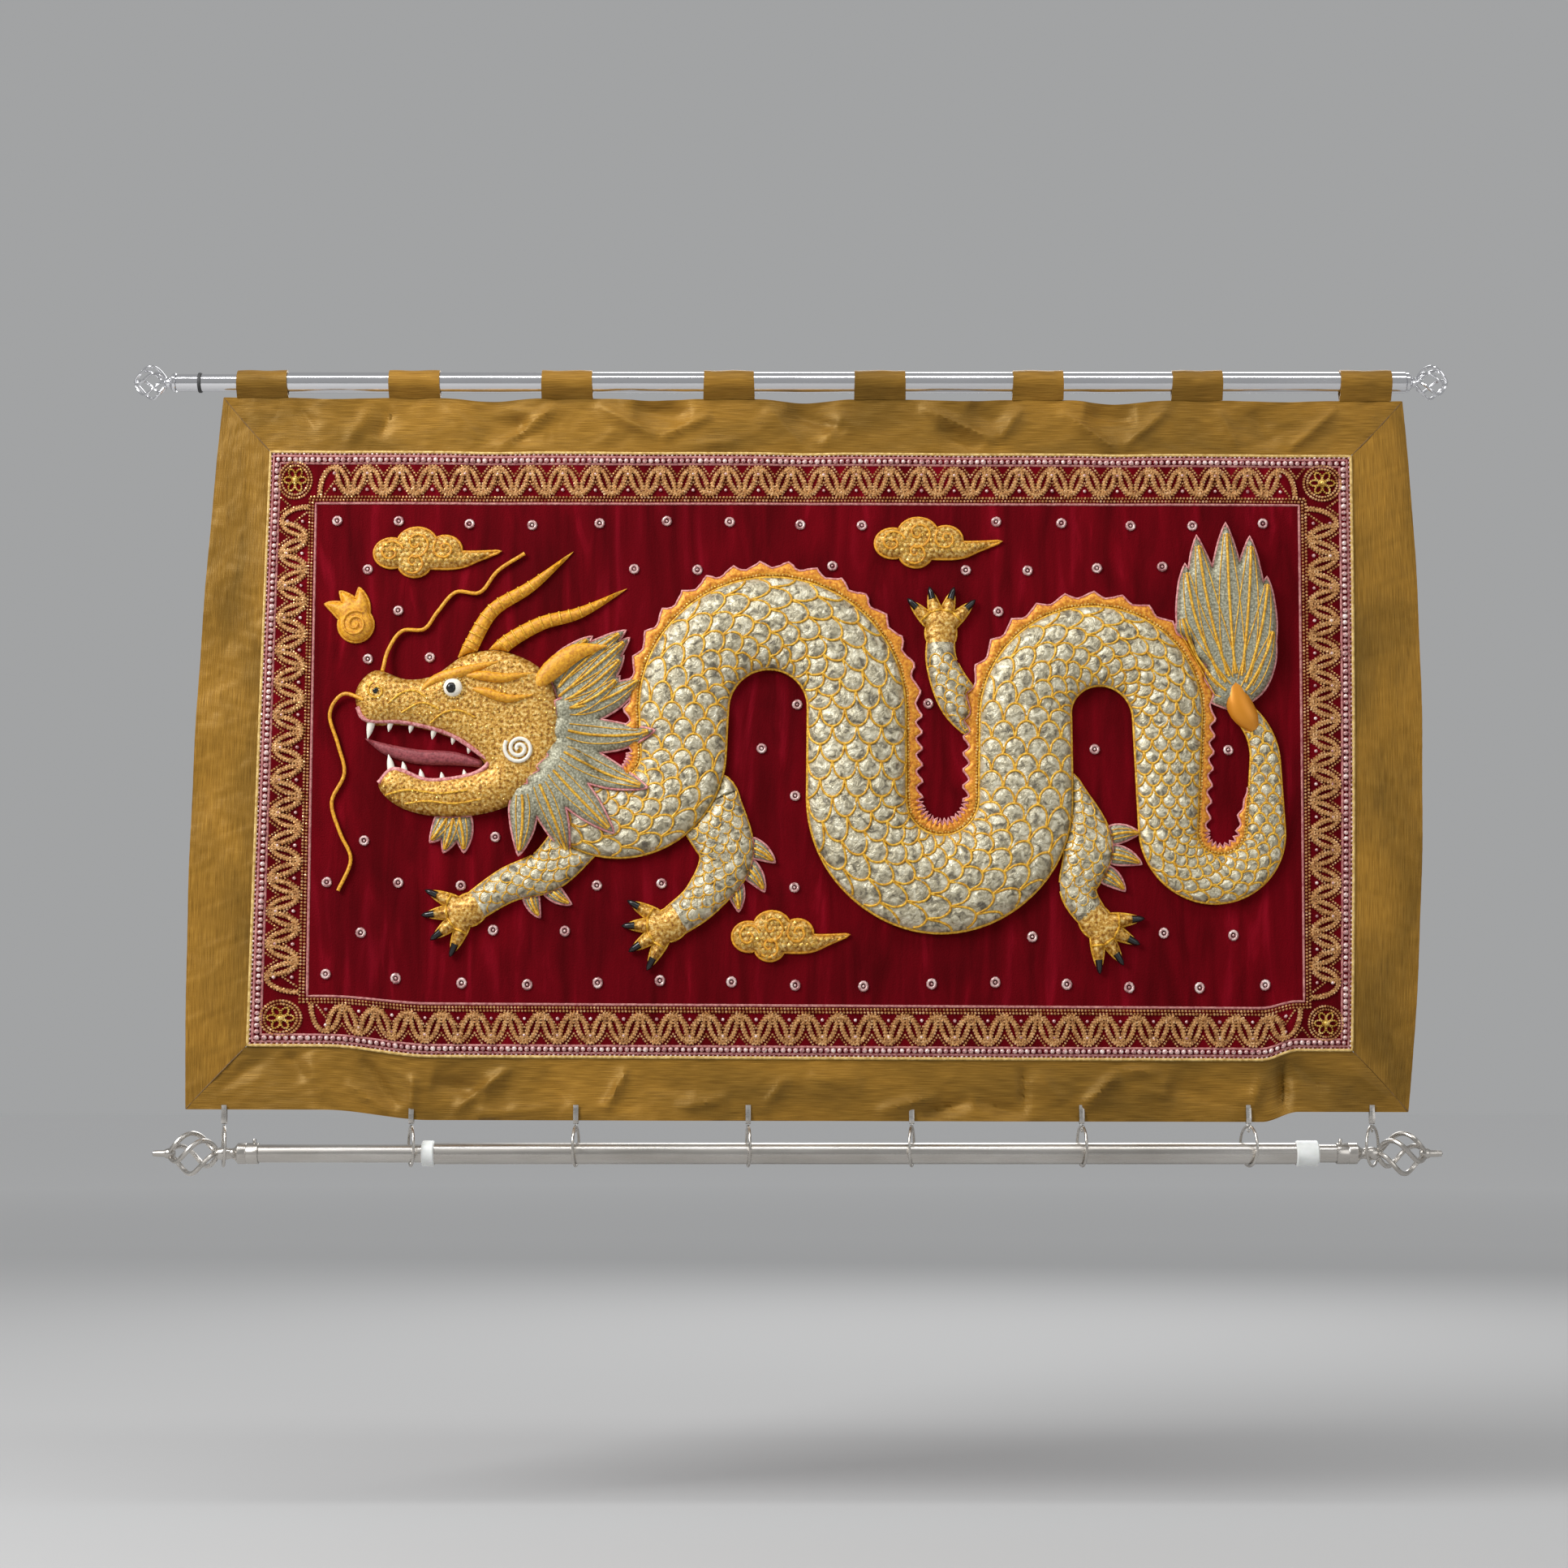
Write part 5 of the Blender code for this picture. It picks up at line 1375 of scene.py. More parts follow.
def rim_paths(faces):
    """Closed runs of corners round the free edges of some triangles."""
    directed = {(face[i - 1], face[i]) for face in faces for i in range(3)}
    following = {start: end for start, end in directed if (end, start) not in directed}
    paths = []
    while following:
        start, corner = following.popitem()
        path = [start]
        while corner in following:
            path.append(corner)
            corner = following.pop(corner)
        paths.append(path)
    return paths


def filled(include, exclude, spacing):
    """Points, triangles and edge distances of the union of some outlines less some others."""
    outlines = [*include, *exclude]
    points = np.concatenate(outlines)
    counts = np.cumsum([0] + [len(outline) for outline in outlines])
    loops = [list(range(start, end)) for start, end in zip(counts, counts[1:])]
    ends = np.concatenate([np.roll(outline, -1, axis=0) for outline in outlines])
    low, high = np.concatenate(include).min(axis=0), np.concatenate(include).max(axis=0)
    rows = np.arange(low[1], high[1], spacing * 0.87)
    inner = np.array(
        [
            (a + (number % 2) * spacing / 2, b)
            for number, b in enumerate(rows)
            for a in np.arange(low[0], high[0], spacing)
        ]
    )
    inner = inner[edge_distance(inner, points, ends) > spacing * 0.4]
    every = [Vector(point) for point in np.concatenate([points, inner])]
    spots, _, faces, _, _, sources = delaunay_2d_cdt(every, [], loops, 1, 1e-5, True)
    kept = [
        list(face)
        for face, source in zip(faces, sources)
        if source and max(source) < len(include)
    ]
    used = sorted({corner for face in kept for corner in face})
    index = {corner: number for number, corner in enumerate(used)}
    spots = np.array([spots[corner][:] for corner in used])
    kept = [[index[corner] for corner in face] for face in kept]
    rims = rim_paths(kept)
    starts = np.concatenate([spots[rim] for rim in rims])
    ends = np.concatenate([np.roll(spots[rim], -1, axis=0) for rim in rims])
    return spots, kept, edge_distance(spots, starts, ends), rims


def stuffed(
    name, node, include, exclude, height, radius, finish, slot, spacing, swell=None, floor=None
):
    """A padded piece domed over radius from its edge; gives it, its rims and its surface's lift."""
    spots, faces, distance, rims = filled(include, exclude, spacing)
    starts = np.concatenate([spots[rim] for rim in rims])
    ends = np.concatenate([np.roll(spots[rim], -1, axis=0) for rim in rims])

    def ground(places):
        return np.full(len(places), BASE) if floor is None else floor(places)

    def surface(places, off=None):
        places = np.asarray(places, float)[:, :2]
        off = edge_distance(places, starts, ends) if off is None else off
        share = np.clip(off / radius, 0, 1)
        dome = RIM + height * np.sqrt(1 - (1 - share) ** 2)
        return ground(places) + dome + (0.0 if swell is None else swell(places, share))

    front = sewn(np.column_stack([spots, surface(spots, distance)]))
    back = sewn(np.column_stack([spots, ground(spots)]))
    points, shell = layered(front, back, [face[::-1] for face in faces])
    piece = make_piece(name, points, shell, [finish], slot, node, np.concatenate([spots, spots]))
    paths = [
        np.column_stack([spots[rim], ground(spots[rim]) + RIM]) for rim in rims if len(rim) > 8
    ]
    return piece, paths, surface


def laid_on(surface, path, rise):
    """A path of places (a, b) laid on a padded surface, with a rise above it."""
    path = np.asarray(path, float)[:, :2]
    return np.column_stack([path, surface(path) + rise])


def spike(rows, ground, height, columns=7):
    """Points and faces of a small padded point along rows of (a, b, half-width), on a ground."""
    path = smooth_path(rows, 3)
    side = sides_of(path)
    turns = np.linspace(0, math.pi, columns)
    half = path[:, 2:3]
    a = path[:, :1] + side[:, :1] * half * np.cos(turns)
    b = path[:, 1:2] + side[:, 1:] * half * np.cos(turns)
    lift = ground(path)[:, None] + height * np.sin(turns) * np.clip(half / half.max(), 0.1, 1)
    count = len(path)
    faces = grid_faces(count, columns)
    for near in range(0, (count - 1) * columns, columns):
        far = near + columns
        faces.append([far - 1, far + columns - 1, far, near])
    faces += [list(range(columns)), list(range((count - 1) * columns, count * columns))[::-1]]
    return sewn(np.stack([a, b, lift], axis=-1)).tolist(), faces


HEAD_UPPER = (
    # a, b round the skull and upper jaw, from the nape over the brow to the snout and back
    (-0.232, 0.062), (-0.270, 0.087), (-0.307, 0.085), (-0.336, 0.066), (-0.362, 0.062),
    (-0.390, 0.070), (-0.407, 0.050), (-0.397, 0.022), (-0.362, 0.020), (-0.323, 0.010),
    (-0.295, -0.008), (-0.275, -0.038), (-0.240, -0.038), (-0.220, 0.000),
)
HEAD_LOWER = (
    # a, b round the lower jaw, from the hinge along the teeth to the chin and back
    (-0.267, -0.011), (-0.302, -0.023), (-0.340, -0.028), (-0.372, -0.018), (-0.385, -0.036),
    (-0.362, -0.056), (-0.320, -0.063), (-0.277, -0.056), (-0.250, -0.038),
)
HORNS = (
    # rows of a, b, half-width from the brow to the point
    (
        (-0.284, 0.082, 0.0078), (-0.270, 0.097, 0.0070), (-0.240, 0.114, 0.0062),
        (-0.205, 0.124, 0.0050), (-0.163, 0.146, 0.0005),
    ),
    (
        (-0.308, 0.080, 0.0078), (-0.302, 0.096, 0.0070), (-0.284, 0.126, 0.0062),
        (-0.250, 0.148, 0.0050), (-0.212, 0.180, 0.0005),
    ),
)
gold_cloth = spun(
    "gold speckled cloth", (0.60, 0.36, 0.09), 0.42, 0.35, "UV", (330, 3.0),
    ((0.34, (0.24, 0.085, 0.006)), (0.50, (0.58, 0.30, 0.040)), (0.68, (0.86, 0.63, 0.24))),
    (900, 2.0, 0.0005),
)
yellow_silk = spun(
    "wrapped yellow silk", (0.80, 0.40, 0.02), 0.45, 0.0, "Object", (400, 2.0),
    ((0.3, (0.50, 0.18, 0.003)), (0.7, (0.84, 0.42, 0.018))), (1400, 2.0, 0.0003),
)
rose_silk = spun(
    "dark rose silk", (0.24, 0.035, 0.045), 0.5, 0.0, "Object", (500, 2.0),
    ((0.3, (0.15, 0.018, 0.025)), (0.7, (0.34, 0.07, 0.08))),
)
white_bead = new_finish("white glazed bead", (0.80, 0.76, 0.66), 0.30)
black_bead = new_finish("black glazed bead", (0.008, 0.008, 0.008), 0.22)

body_sides = [body[:, :2] + side * body_side * body[:, 2:3] for side in (1, -1)]
body_outline = [grown(np.concatenate([body_sides[1], body_sides[0][::-1]])[::4], CLEAR)]
crest_outline = [grown(np.concatenate([crest_ab[:, -1], crest_ab[::-1, 0]]), CLEAR)]
body_and_crest = body_outline + crest_outline
head_outlines = [closed_curve(HEAD_UPPER), closed_curve(HEAD_LOWER)]
horn_outlines = [band(rows, 6, pointed=True) for rows in HORNS]
head_cleared = [grown(outline, CLEAR) for outline in head_outlines]
horns_cleared = [grown(outline, CLEAR) for outline in horn_outlines]

_, _, on_head = stuffed(
    "head_pad", "beast_head", head_outlines, body_outline, 0.0130, 0.020, gold_cloth, "gold_cloth",
    0.0035,
)
horn_cords = []
for number, horn in enumerate(horn_outlines, 1):
    _, _, on_horn = stuffed(
        f"horn_pad_{number}", f"beast_horn_{number}", [horn], head_cleared, 0.0045, 0.006,
        yellow_silk, "yellow_cord", 0.003,
    )
    rows = smooth_path(HORNS[number - 1], 8)
    across = sides_of(rows) * rows[:, 2:3] * 0.94
    for station in range(6, len(rows) - 5, 2):
        hoop = rows[station, :2] + np.linspace(-1, 1, 7)[:, None] * across[station]
        horn_cords.append(laid_on(on_horn, hoop, 0.0002))

MOUTH = (
    # a, b along the lips, from the snout to the corner of the mouth and out to the chin
    (-0.4045, 0.0360), (-0.3960, 0.0245), (-0.3620, 0.0225), (-0.3230, 0.0125), (-0.2960, -0.0045),
    (-0.2860, -0.0140), (-0.3020, -0.0255), (-0.3400, -0.0305), (-0.3700, -0.0205), (-0.3845, -0.0330),
)
EYE, EYE_RADIUS = (-0.3180, 0.0530), 0.0098
NOSTRIL, CHEEK = (-0.3865, 0.0500), (-0.2580, -0.0020)
TUFTS = (
    # rows of a, b, half-width: the brow, two tufts behind the eye, and the ear
    ((-0.346, 0.051, 0.0012), (-0.334, 0.061, 0.0044),
     (-0.312, 0.067, 0.0052), (-0.274, 0.078, 0.0006)),
    ((-0.306, 0.064, 0.0016), (-0.292, 0.064, 0.0046),
     (-0.272, 0.062, 0.0044), (-0.246, 0.067, 0.0005)),
    ((-0.300, 0.052, 0.0014), (-0.288, 0.049, 0.0042),
     (-0.268, 0.043, 0.0040), (-0.244, 0.047, 0.0005)),
    ((-0.246, 0.052, 0.0030), (-0.231, 0.069, 0.0090),
     (-0.208, 0.086, 0.0080), (-0.180, 0.092, 0.0006)),
)
WRINKLES = (
    # a, b along the cords that model the snout and the jaw
    ((-0.3760, 0.0380), (-0.3640, 0.0480), (-0.3520, 0.0500), (-0.3420, 0.0440)),
    ((-0.3640, 0.0300), (-0.3500, 0.0380), (-0.3400, 0.0380), (-0.3300, 0.0330)),
    ((-0.3380, 0.0210), (-0.3260, 0.0300), (-0.3120, 0.0320), (-0.2980, 0.0260)),
    ((-0.3780, -0.0440), (-0.3560, -0.0400), (-0.3300, -0.0430), (-0.3040, -0.0400)),
    ((-0.3600, -0.0520), (-0.3400, -0.0500), (-0.3160, -0.0520), (-0.2920, -0.0480)),
)
WHISKERS = (
    # a, b along the two whiskers, from the snout to the tip
    (
        (-0.3980, 0.0420), (-0.4180, 0.0480), (-0.4300, 0.0300), (-0.4220, 0.0020), (-0.4160, -0.0240),
        (-0.4270, -0.0500), (-0.4190, -0.0780), (-0.4090, -0.1020), (-0.4200, -0.1300),
    ),
    (
        (-0.3820, 0.0680), (-0.3780, 0.0880), (-0.3660, 0.1060), (-0.3460, 0.1080), (-0.3340, 0.1240),
        (-0.3180, 0.1420), (-0.2960, 0.1420), (-0.2800, 0.1620), (-0.2560, 0.1780),
    ),
)
TONGUE = (
    # a, b, half-width from the root to the tip
    (-0.292, -0.0150, 0.0030), (-0.318, -0.0100, 0.0062), (-0.350, -0.0085, 0.0066),
    (-0.378, -0.0020, 0.0050), (-0.398, 0.0080, 0.0005),
)
TEETH = (
    # station along the lips, way it points, size
    (7, -1, 1.7), (10, -1, 1.0), (13, -1, 0.9), (16, -1, 1.0), (19, -1, 0.8), (22, -1, 0.7),
    (37, 1, 0.7), (40, 1, 0.8), (43, 1, 1.0), (46, 1, 1.0), (49, 1, 1.5),
)


def spiral(middle, radius, turns, start=0.0):
    """A spiral of places that winds in towards its middle."""
    sweep = np.linspace(0, 1, round(18 * turns))
    reach = radius * (1 - 0.88 * sweep)
    angle = start + math.tau * turns * sweep
    return np.array(middle) + np.stack([reach * np.cos(angle), reach * np.sin(angle)], axis=1)


def inside(places, outline):
    """Whether places lie inside a closed outline."""
    found = np.zeros(len(places), bool)
    for (a0, b0), (a1, b1) in zip(outline, np.roll(outline, -1, axis=0)):
        if b0 != b1:
            crosses = (b0 > places[:, 1]) != (b1 > places[:, 1])
            found ^= crosses & (places[:, 0] < a0 + (places[:, 1] - b0) / (b1 - b0) * (a1 - a0))
    return found


def covered(places, outlines):
    """Whether places lie inside any of some closed outlines."""
    found = np.zeros(len(places), bool)
    for outline in outlines:
        found |= inside(places, outline)
    return found


def off_outlines(places, outlines):
    """Distance of places to the nearest of some outlines."""
    starts = np.concatenate(outlines)
    ends = np.concatenate([np.roll(outline, -1, axis=0) for outline in outlines])
    return edge_distance(places, starts, ends)


def flat_ground(lift):
    """A ground at one lift for any places."""
    return lambda places: np.full(len(places), lift)


def button(a, b, radius, stations, lift, height):
    """Points and faces of a small round dome, from its stations across."""
    rows = [
        (a + share * radius, b, radius * math.sqrt(1 - (share / 1.01) ** 2)) for share in stations
    ]
    return spike(rows, flat_ground(lift), height)


tufts = [spike(rows, lambda path: on_head(path) - 0.0004, 0.0052) for rows in TUFTS[:3]]
tufts.append(spike(TUFTS[3], flat_ground(BASE + 0.0100), 0.0060))
make_piece("brow_and_ear_tufts", *joined(*tufts), [yellow_silk], "yellow_cord")
stuffed(
    "tongue_pad", None, [band(TONGUE, 6, pointed=True)], head_cleared, 0.0042, 0.006, rose_silk,
    "yellow_cord", 0.0025,
)
lips = smooth_path(MOUTH, 6)
teeth = []
for station, way, size in TEETH:
    a, b = lips[station]
    wide, lean = 0.0030 * math.sqrt(size), 0.0020 * size
    rows = (
        (a, b - way * 0.0010, wide),
        (a - lean / 2, b + way * 0.0050 * size, wide * 0.75),
        (a - lean, b + way * 0.0096 * size, 0.0003),
    )
    teeth.append(spike(rows, flat_ground(BASE + 0.0035), 0.0034))
make_piece("teeth", *joined(*teeth), [white_bead], "silver_cloth")

BEAD_PITCH, BEAD_CLEAR = 0.0060, 0.0030
grid_a, grid_b = np.meshgrid(
    np.arange(-0.402, -0.222, BEAD_PITCH), np.arange(-0.060, 0.086, BEAD_PITCH)
)
speckles = np.column_stack([grid_a.ravel(), grid_b.ravel()])
speckles += 0.0013 * np.sin(speckles[:, ::-1] * 917 + speckles * 331)
kept = covered(speckles, head_outlines)
kept &= off_outlines(speckles, head_outlines) > BEAD_CLEAR
kept &= off_outlines(speckles, [lips]) > 0.0035
kept &= np.linalg.norm(speckles - EYE, axis=1) > EYE_RADIUS + BEAD_CLEAR
kept &= np.linalg.norm(speckles - CHEEK, axis=1) > 0.0160
speckles = [[place] for place in laid_on(on_head, speckles[kept], 0.0002)]
eye_ring = np.array(EYE) + EYE_RADIUS * np.array(
    [(math.cos(turn), math.sin(turn)) for turn in np.linspace(0, math.tau, 28)]
)
eye_lift = float(on_head([EYE])[0])
pin_up(
    "head_beads",
    [
        grown_mesh(
            sewn_sequins, speckles, Radius=0.0012, Height=0.0012, Crown=0.5, Sides=6, Tilt=0.3,
            Seed=41, Finish=yellow_sequins,
        ),
        grown_mesh(
            sequin_rows, [laid_on(on_head, eye_ring, 0.0006)], Spacing=0.0028, Radius=0.0013,
            Height=0.0014, Crown=0.6, Sides=6, Tilt=0.2, Seed=42, Finish=yellow_sequins,
        ),
    ],
)
make_piece(
    "eye_white", *button(*EYE, 0.0090, (-1, -2 / 3, 0, 2 / 3, 1), eye_lift - 0.0006, 0.0040),
    [white_bead], "silver_cloth",
)
pupil = button(
    EYE[0] - 0.0012, EYE[1] - 0.0004, 0.0052, (-1, -0.5, 0, 0.5, 1), eye_lift + 0.0014, 0.0034,
)
nostril_lift = float(on_head([NOSTRIL])[0])
nostril = button(
    NOSTRIL[0] - 0.001, NOSTRIL[1], 0.0028, (-1, -0.5, 0, 0.5, 1), nostril_lift, 0.0016,
)
make_piece("eye_and_nostril_black", *joined(pupil, nostril), [black_bead], "dark_rubber")

head_lines = [laid_on(on_head, smooth_path(rows, 5), 0.0004) for rows in WRINKLES]
head_lines.append(laid_on(on_head, spiral(NOSTRIL, 0.0085, 1.4, 2.0), 0.0004))
lip_line = np.column_stack([lips, np.full(len(lips), BASE + 0.0062)])
whiskers = []
for rows in WHISKERS:
    path = smooth_path(rows, 7)
    height = BASE + 0.0024 + 0.0090 * np.exp(-np.arange(len(path)) / 5.0)
    whiskers.append(np.column_stack([path, height]))
pin_up(
    "head_cords",
    [
        cords(head_lines + horn_cords, 0.0010, gold_cord),
        cords([lip_line], 0.0023, rose_cord, 8),
        cords(whiskers, 0.0017, yellow_silk, 8),
        cords([laid_on(on_head, spiral(CHEEK, 0.0135, 2.2, 2.6), 0.0008)], 0.0018, white_bead, 8),
    ],
)


# Mane, beard, plume and the ruff that hides the neck seam: fans of silver-thread locks, with a gold
# vein and two finer strands couched down each and a rose cord round the whole.
MANE_ROOT, BEARD_ROOT, PLUME_ROOT = (-0.240, 0.034), (-0.317, -0.052), (0.388, 0.044)
NECK_STEPS, HEAD_LIFT = 220, 0.0060
MANE_LOCKS = (
    # heading, length, half-width, bow in degrees
    (74, 0.082, 0.014, -18), (54, 0.106, 0.015, -10), (36, 0.104, 0.015, 4), (16, 0.090, 0.015, 18),
    (-6, 0.078, 0.015, 30),
)
BEARD_LOCKS = (
    (-62, 0.044, 0.010, -16), (-88, 0.044, 0.010, -14), (-112, 0.040, 0.010, -10),
)
PLUME_LOCKS = (
    (146, 0.096, 0.018, -24), (128, 0.134, 0.020, -18), (112, 0.156, 0.021, -9), (96, 0.164, 0.021, -3),
    (81, 0.152, 0.020, 4), (66, 0.118, 0.018, 10), (50, 0.076, 0.014, 14),
)
RUFF_LOCKS = (
    # base a, b, heading, length, half-width, bow in degrees
    (-0.226, 0.034, 2, 0.084, 0.0150, 20), (-0.228, 0.018, -16, 0.092, 0.0155, 14),
    (-0.230, 0.002, -32, 0.096, 0.0155, 8), (-0.236, -0.012, -48, 0.092, 0.0150, 2),
    (-0.244, -0.024, -64, 0.080, 0.0140, -4), (-0.256, -0.034, -82, 0.064, 0.0125, -10),
)
TAIL_JOIN = (
    # a, b, half-width of the collar that runs from the tail into the plume
    (0.4030, 0.0180, 0.0040), (0.3980, 0.0270, 0.0100), (0.3900, 0.0400, 0.0120),
    (0.3860, 0.0580, 0.0080), (0.3840, 0.0820, 0.0005),
)
silver_thread = spun(
    "laid silver thread", (0.30, 0.29, 0.20), 0.42, 0.35, "UV", (500, 3.0),
    ((0.30, (0.12, 0.115, 0.075)), (0.52, (0.31, 0.30, 0.21)), (0.75, (0.62, 0.60, 0.46))),
    (1300, 2.0, 0.0004),
)


def lock_ridges(spots, fans):
    """How far locks stand up at some places, from 0 in the folds between them to 1 on their middles."""
    rise = np.zeros(len(spots))
    for rows in fans:
        path = smooth_path(rows, 6)
        for start, end in zip(path, path[1:]):
            along = end[:2] - start[:2]
            share = np.clip((spots - start[:2]) @ along / (along @ along), 0, 1)
            off = np.linalg.norm(spots - start[:2] - share[:, None] * along, axis=1)
            half = np.maximum(start[2] + (end[2] - start[2]) * share, 1e-5)
            rise = np.maximum(rise, np.sqrt(np.clip(1 - (off / half) ** 2, 0, 1)))
    return rise


def fan_piece(name, node, fans, behind, height, radius, floor=None):
    """A fan of locks as one padded piece with its veins and its edging."""
    def swell(places, share):
        return height * 0.5 * (lock_ridges(places, fans) - 0.55) * np.minimum(share * 3, 1)

    outlines = [band(rows, 6, pointed=True) for rows in fans]
    _, rims, surface = stuffed(
        name, node, outlines, behind, height * 0.85, radius, silver_thread, "silver_thread", 0.0030,
        swell, floor,
    )
    veins, strands = [], []
    for rows in fans:
        path = smooth_path(rows, 6)
        side = sides_of(path)
        for share, found in ((0.0, veins), (0.5, strands), (-0.5, strands)):
            vein = (path[:, :2] + share * side * path[:, 2:3])[3:-3]
            vein = vein[~covered(vein, behind)]
            if len(vein) > 3:
                found.append(laid_on(surface, vein, 0.0002))
    pin_up(
        f"{name}_cords",
        [
            cords(veins, 0.0013, gold_cord),
            cords(strands, 0.0006, gold_cord, 5),
            cords(rims, 0.0011, rose_cord, closed=True),
        ],
    )
    return outlines


def over_pads(places):
    """Lift of the ground that lies over the velvet, the body's start and the back of the head."""
    near = body[:NECK_STEPS]
    far = np.linalg.norm(places[:, None, :] - near[None, :, :2], axis=2)
    nearest = far.argmin(axis=1)
    half = near[nearest, 2]
    share = np.clip(far[np.arange(len(places)), nearest] / half, 0, 1)
    dome = np.where(share < 1, RIM + BODY_PUFF * half * np.sqrt(1 - share**2) + SCALE_PUFF, 0)
    return BASE + np.maximum(dome, HEAD_LIFT * ease(-places[:, 0], 0.19, 0.23))


fan_outlines = []
for name, node, base, locks, behind, height, radius in (
    (
        "mane_locks", "beast_mane", MANE_ROOT, MANE_LOCKS,
        body_outline + head_cleared + horns_cleared + crest_outline, 0.0070, 0.010,
    ),
    ("beard_locks", "beast_beard", BEARD_ROOT, BEARD_LOCKS, body_outline + head_cleared, 0.0050, 0.007),
    ("plume_locks", "beast_plume", PLUME_ROOT, PLUME_LOCKS, body_and_crest, 0.0080, 0.011),
):
    fans = [lock_rows(base, *row) for row in locks]
    fan_outlines += fan_piece(name, node, fans, behind, height, radius)
ruff = [lock_rows(row[:2], *row[2:]) for row in RUFF_LOCKS]
fan_outlines += fan_piece("neck_ruff", None, ruff, [], 0.0050, 0.009, over_pads)
points, faces = spike(TAIL_JOIN, flat_ground(BASE + 0.0045), 0.0085)
make_piece(
    "tail_collar", points, faces, [orange_gold], "gold_cloth", flat=np.zeros((len(points), 2)),
)


# Legs: padded in the body's scales to the wrist, then gold-speckled, with black claws on the toes.
# Three of the four have pointed fins of silver thread behind the elbow.
LEGS = (
    # name, spine rows of a, b, half-width from the body to the wrist, paw heading in degrees
    (
        "fore_far",
        (
            (-0.204, -0.080, 0.022), (-0.232, -0.110, 0.019), (-0.268, -0.124, 0.015),
            (-0.302, -0.146, 0.012),
        ),
        205,
    ),
    (
        "fore_near",
        (
            (-0.090, -0.050, 0.030), (-0.072, -0.096, 0.024), (-0.092, -0.134, 0.017),
            (-0.122, -0.158, 0.013),
        ),
        200,
    ),
    (
        "hind_near",
        (
            (0.222, -0.045, 0.029), (0.252, -0.086, 0.023), (0.244, -0.126, 0.016),
            (0.260, -0.154, 0.012),
        ),
        -38,
    ),
    (
        "hind_far",
        (
            (0.166, 0.020, 0.020), (0.138, 0.044, 0.018), (0.122, 0.078, 0.0135),
            (0.121, 0.106, 0.0115),
        ),
        92,
    ),
)
FINS = {
    # a, b, heading, length, half-width, bow in degrees of the fins of a leg
    "fore_far": ((-0.236, -0.118, -62, 0.034, 0.0075, 20), (-0.248, -0.124, -92, 0.030, 0.0070, 20)),
    "fore_near": (
        (-0.060, -0.086, -12, 0.036, 0.0085, -16), (-0.062, -0.100, -34, 0.038, 0.0085, -16),
        (-0.070, -0.114, -58, 0.034, 0.0080, -16),
    ),
    "hind_near": (
        (0.266, -0.080, 24, 0.034, 0.0085, -16), (0.266, -0.094, 2, 0.036, 0.0085, -16),
        (0.260, -0.108, -20, 0.032, 0.0080, -16),
    ),
}
LEG_SCALE, TOE_LENGTH = 0.0115, 0.040


def toe_rows(a, b, heading):
    """Rows of the four toes of a foot, fanned round its heading."""
    rows = []
    for spread in (-48, -18, 12, 42):
        turn = math.radians(heading + spread)
        toe = []
        for reach, half in ((0.006, 0.0060), (0.020, 0.0058), (0.032, 0.0036), (TOE_LENGTH, 0.0004)):
            toe.append((a + reach * math.cos(turn), b + reach * math.sin(turn), half))
        rows.append(toe)
    return rows


def along_spine(places, path):
    """How far places lie down a spine and out to its left, both in metres."""
    run = np.concatenate([[0], np.cumsum(np.linalg.norm(np.diff(path[:, :2], axis=0), axis=1))])
    far = np.linalg.norm(places[:, None, :] - path[None, :, :2], axis=2)
    nearest = far.argmin(axis=1)
    out = np.sum((places - path[nearest, :2]) * sides_of(path)[nearest], axis=1)
    return run[nearest], out


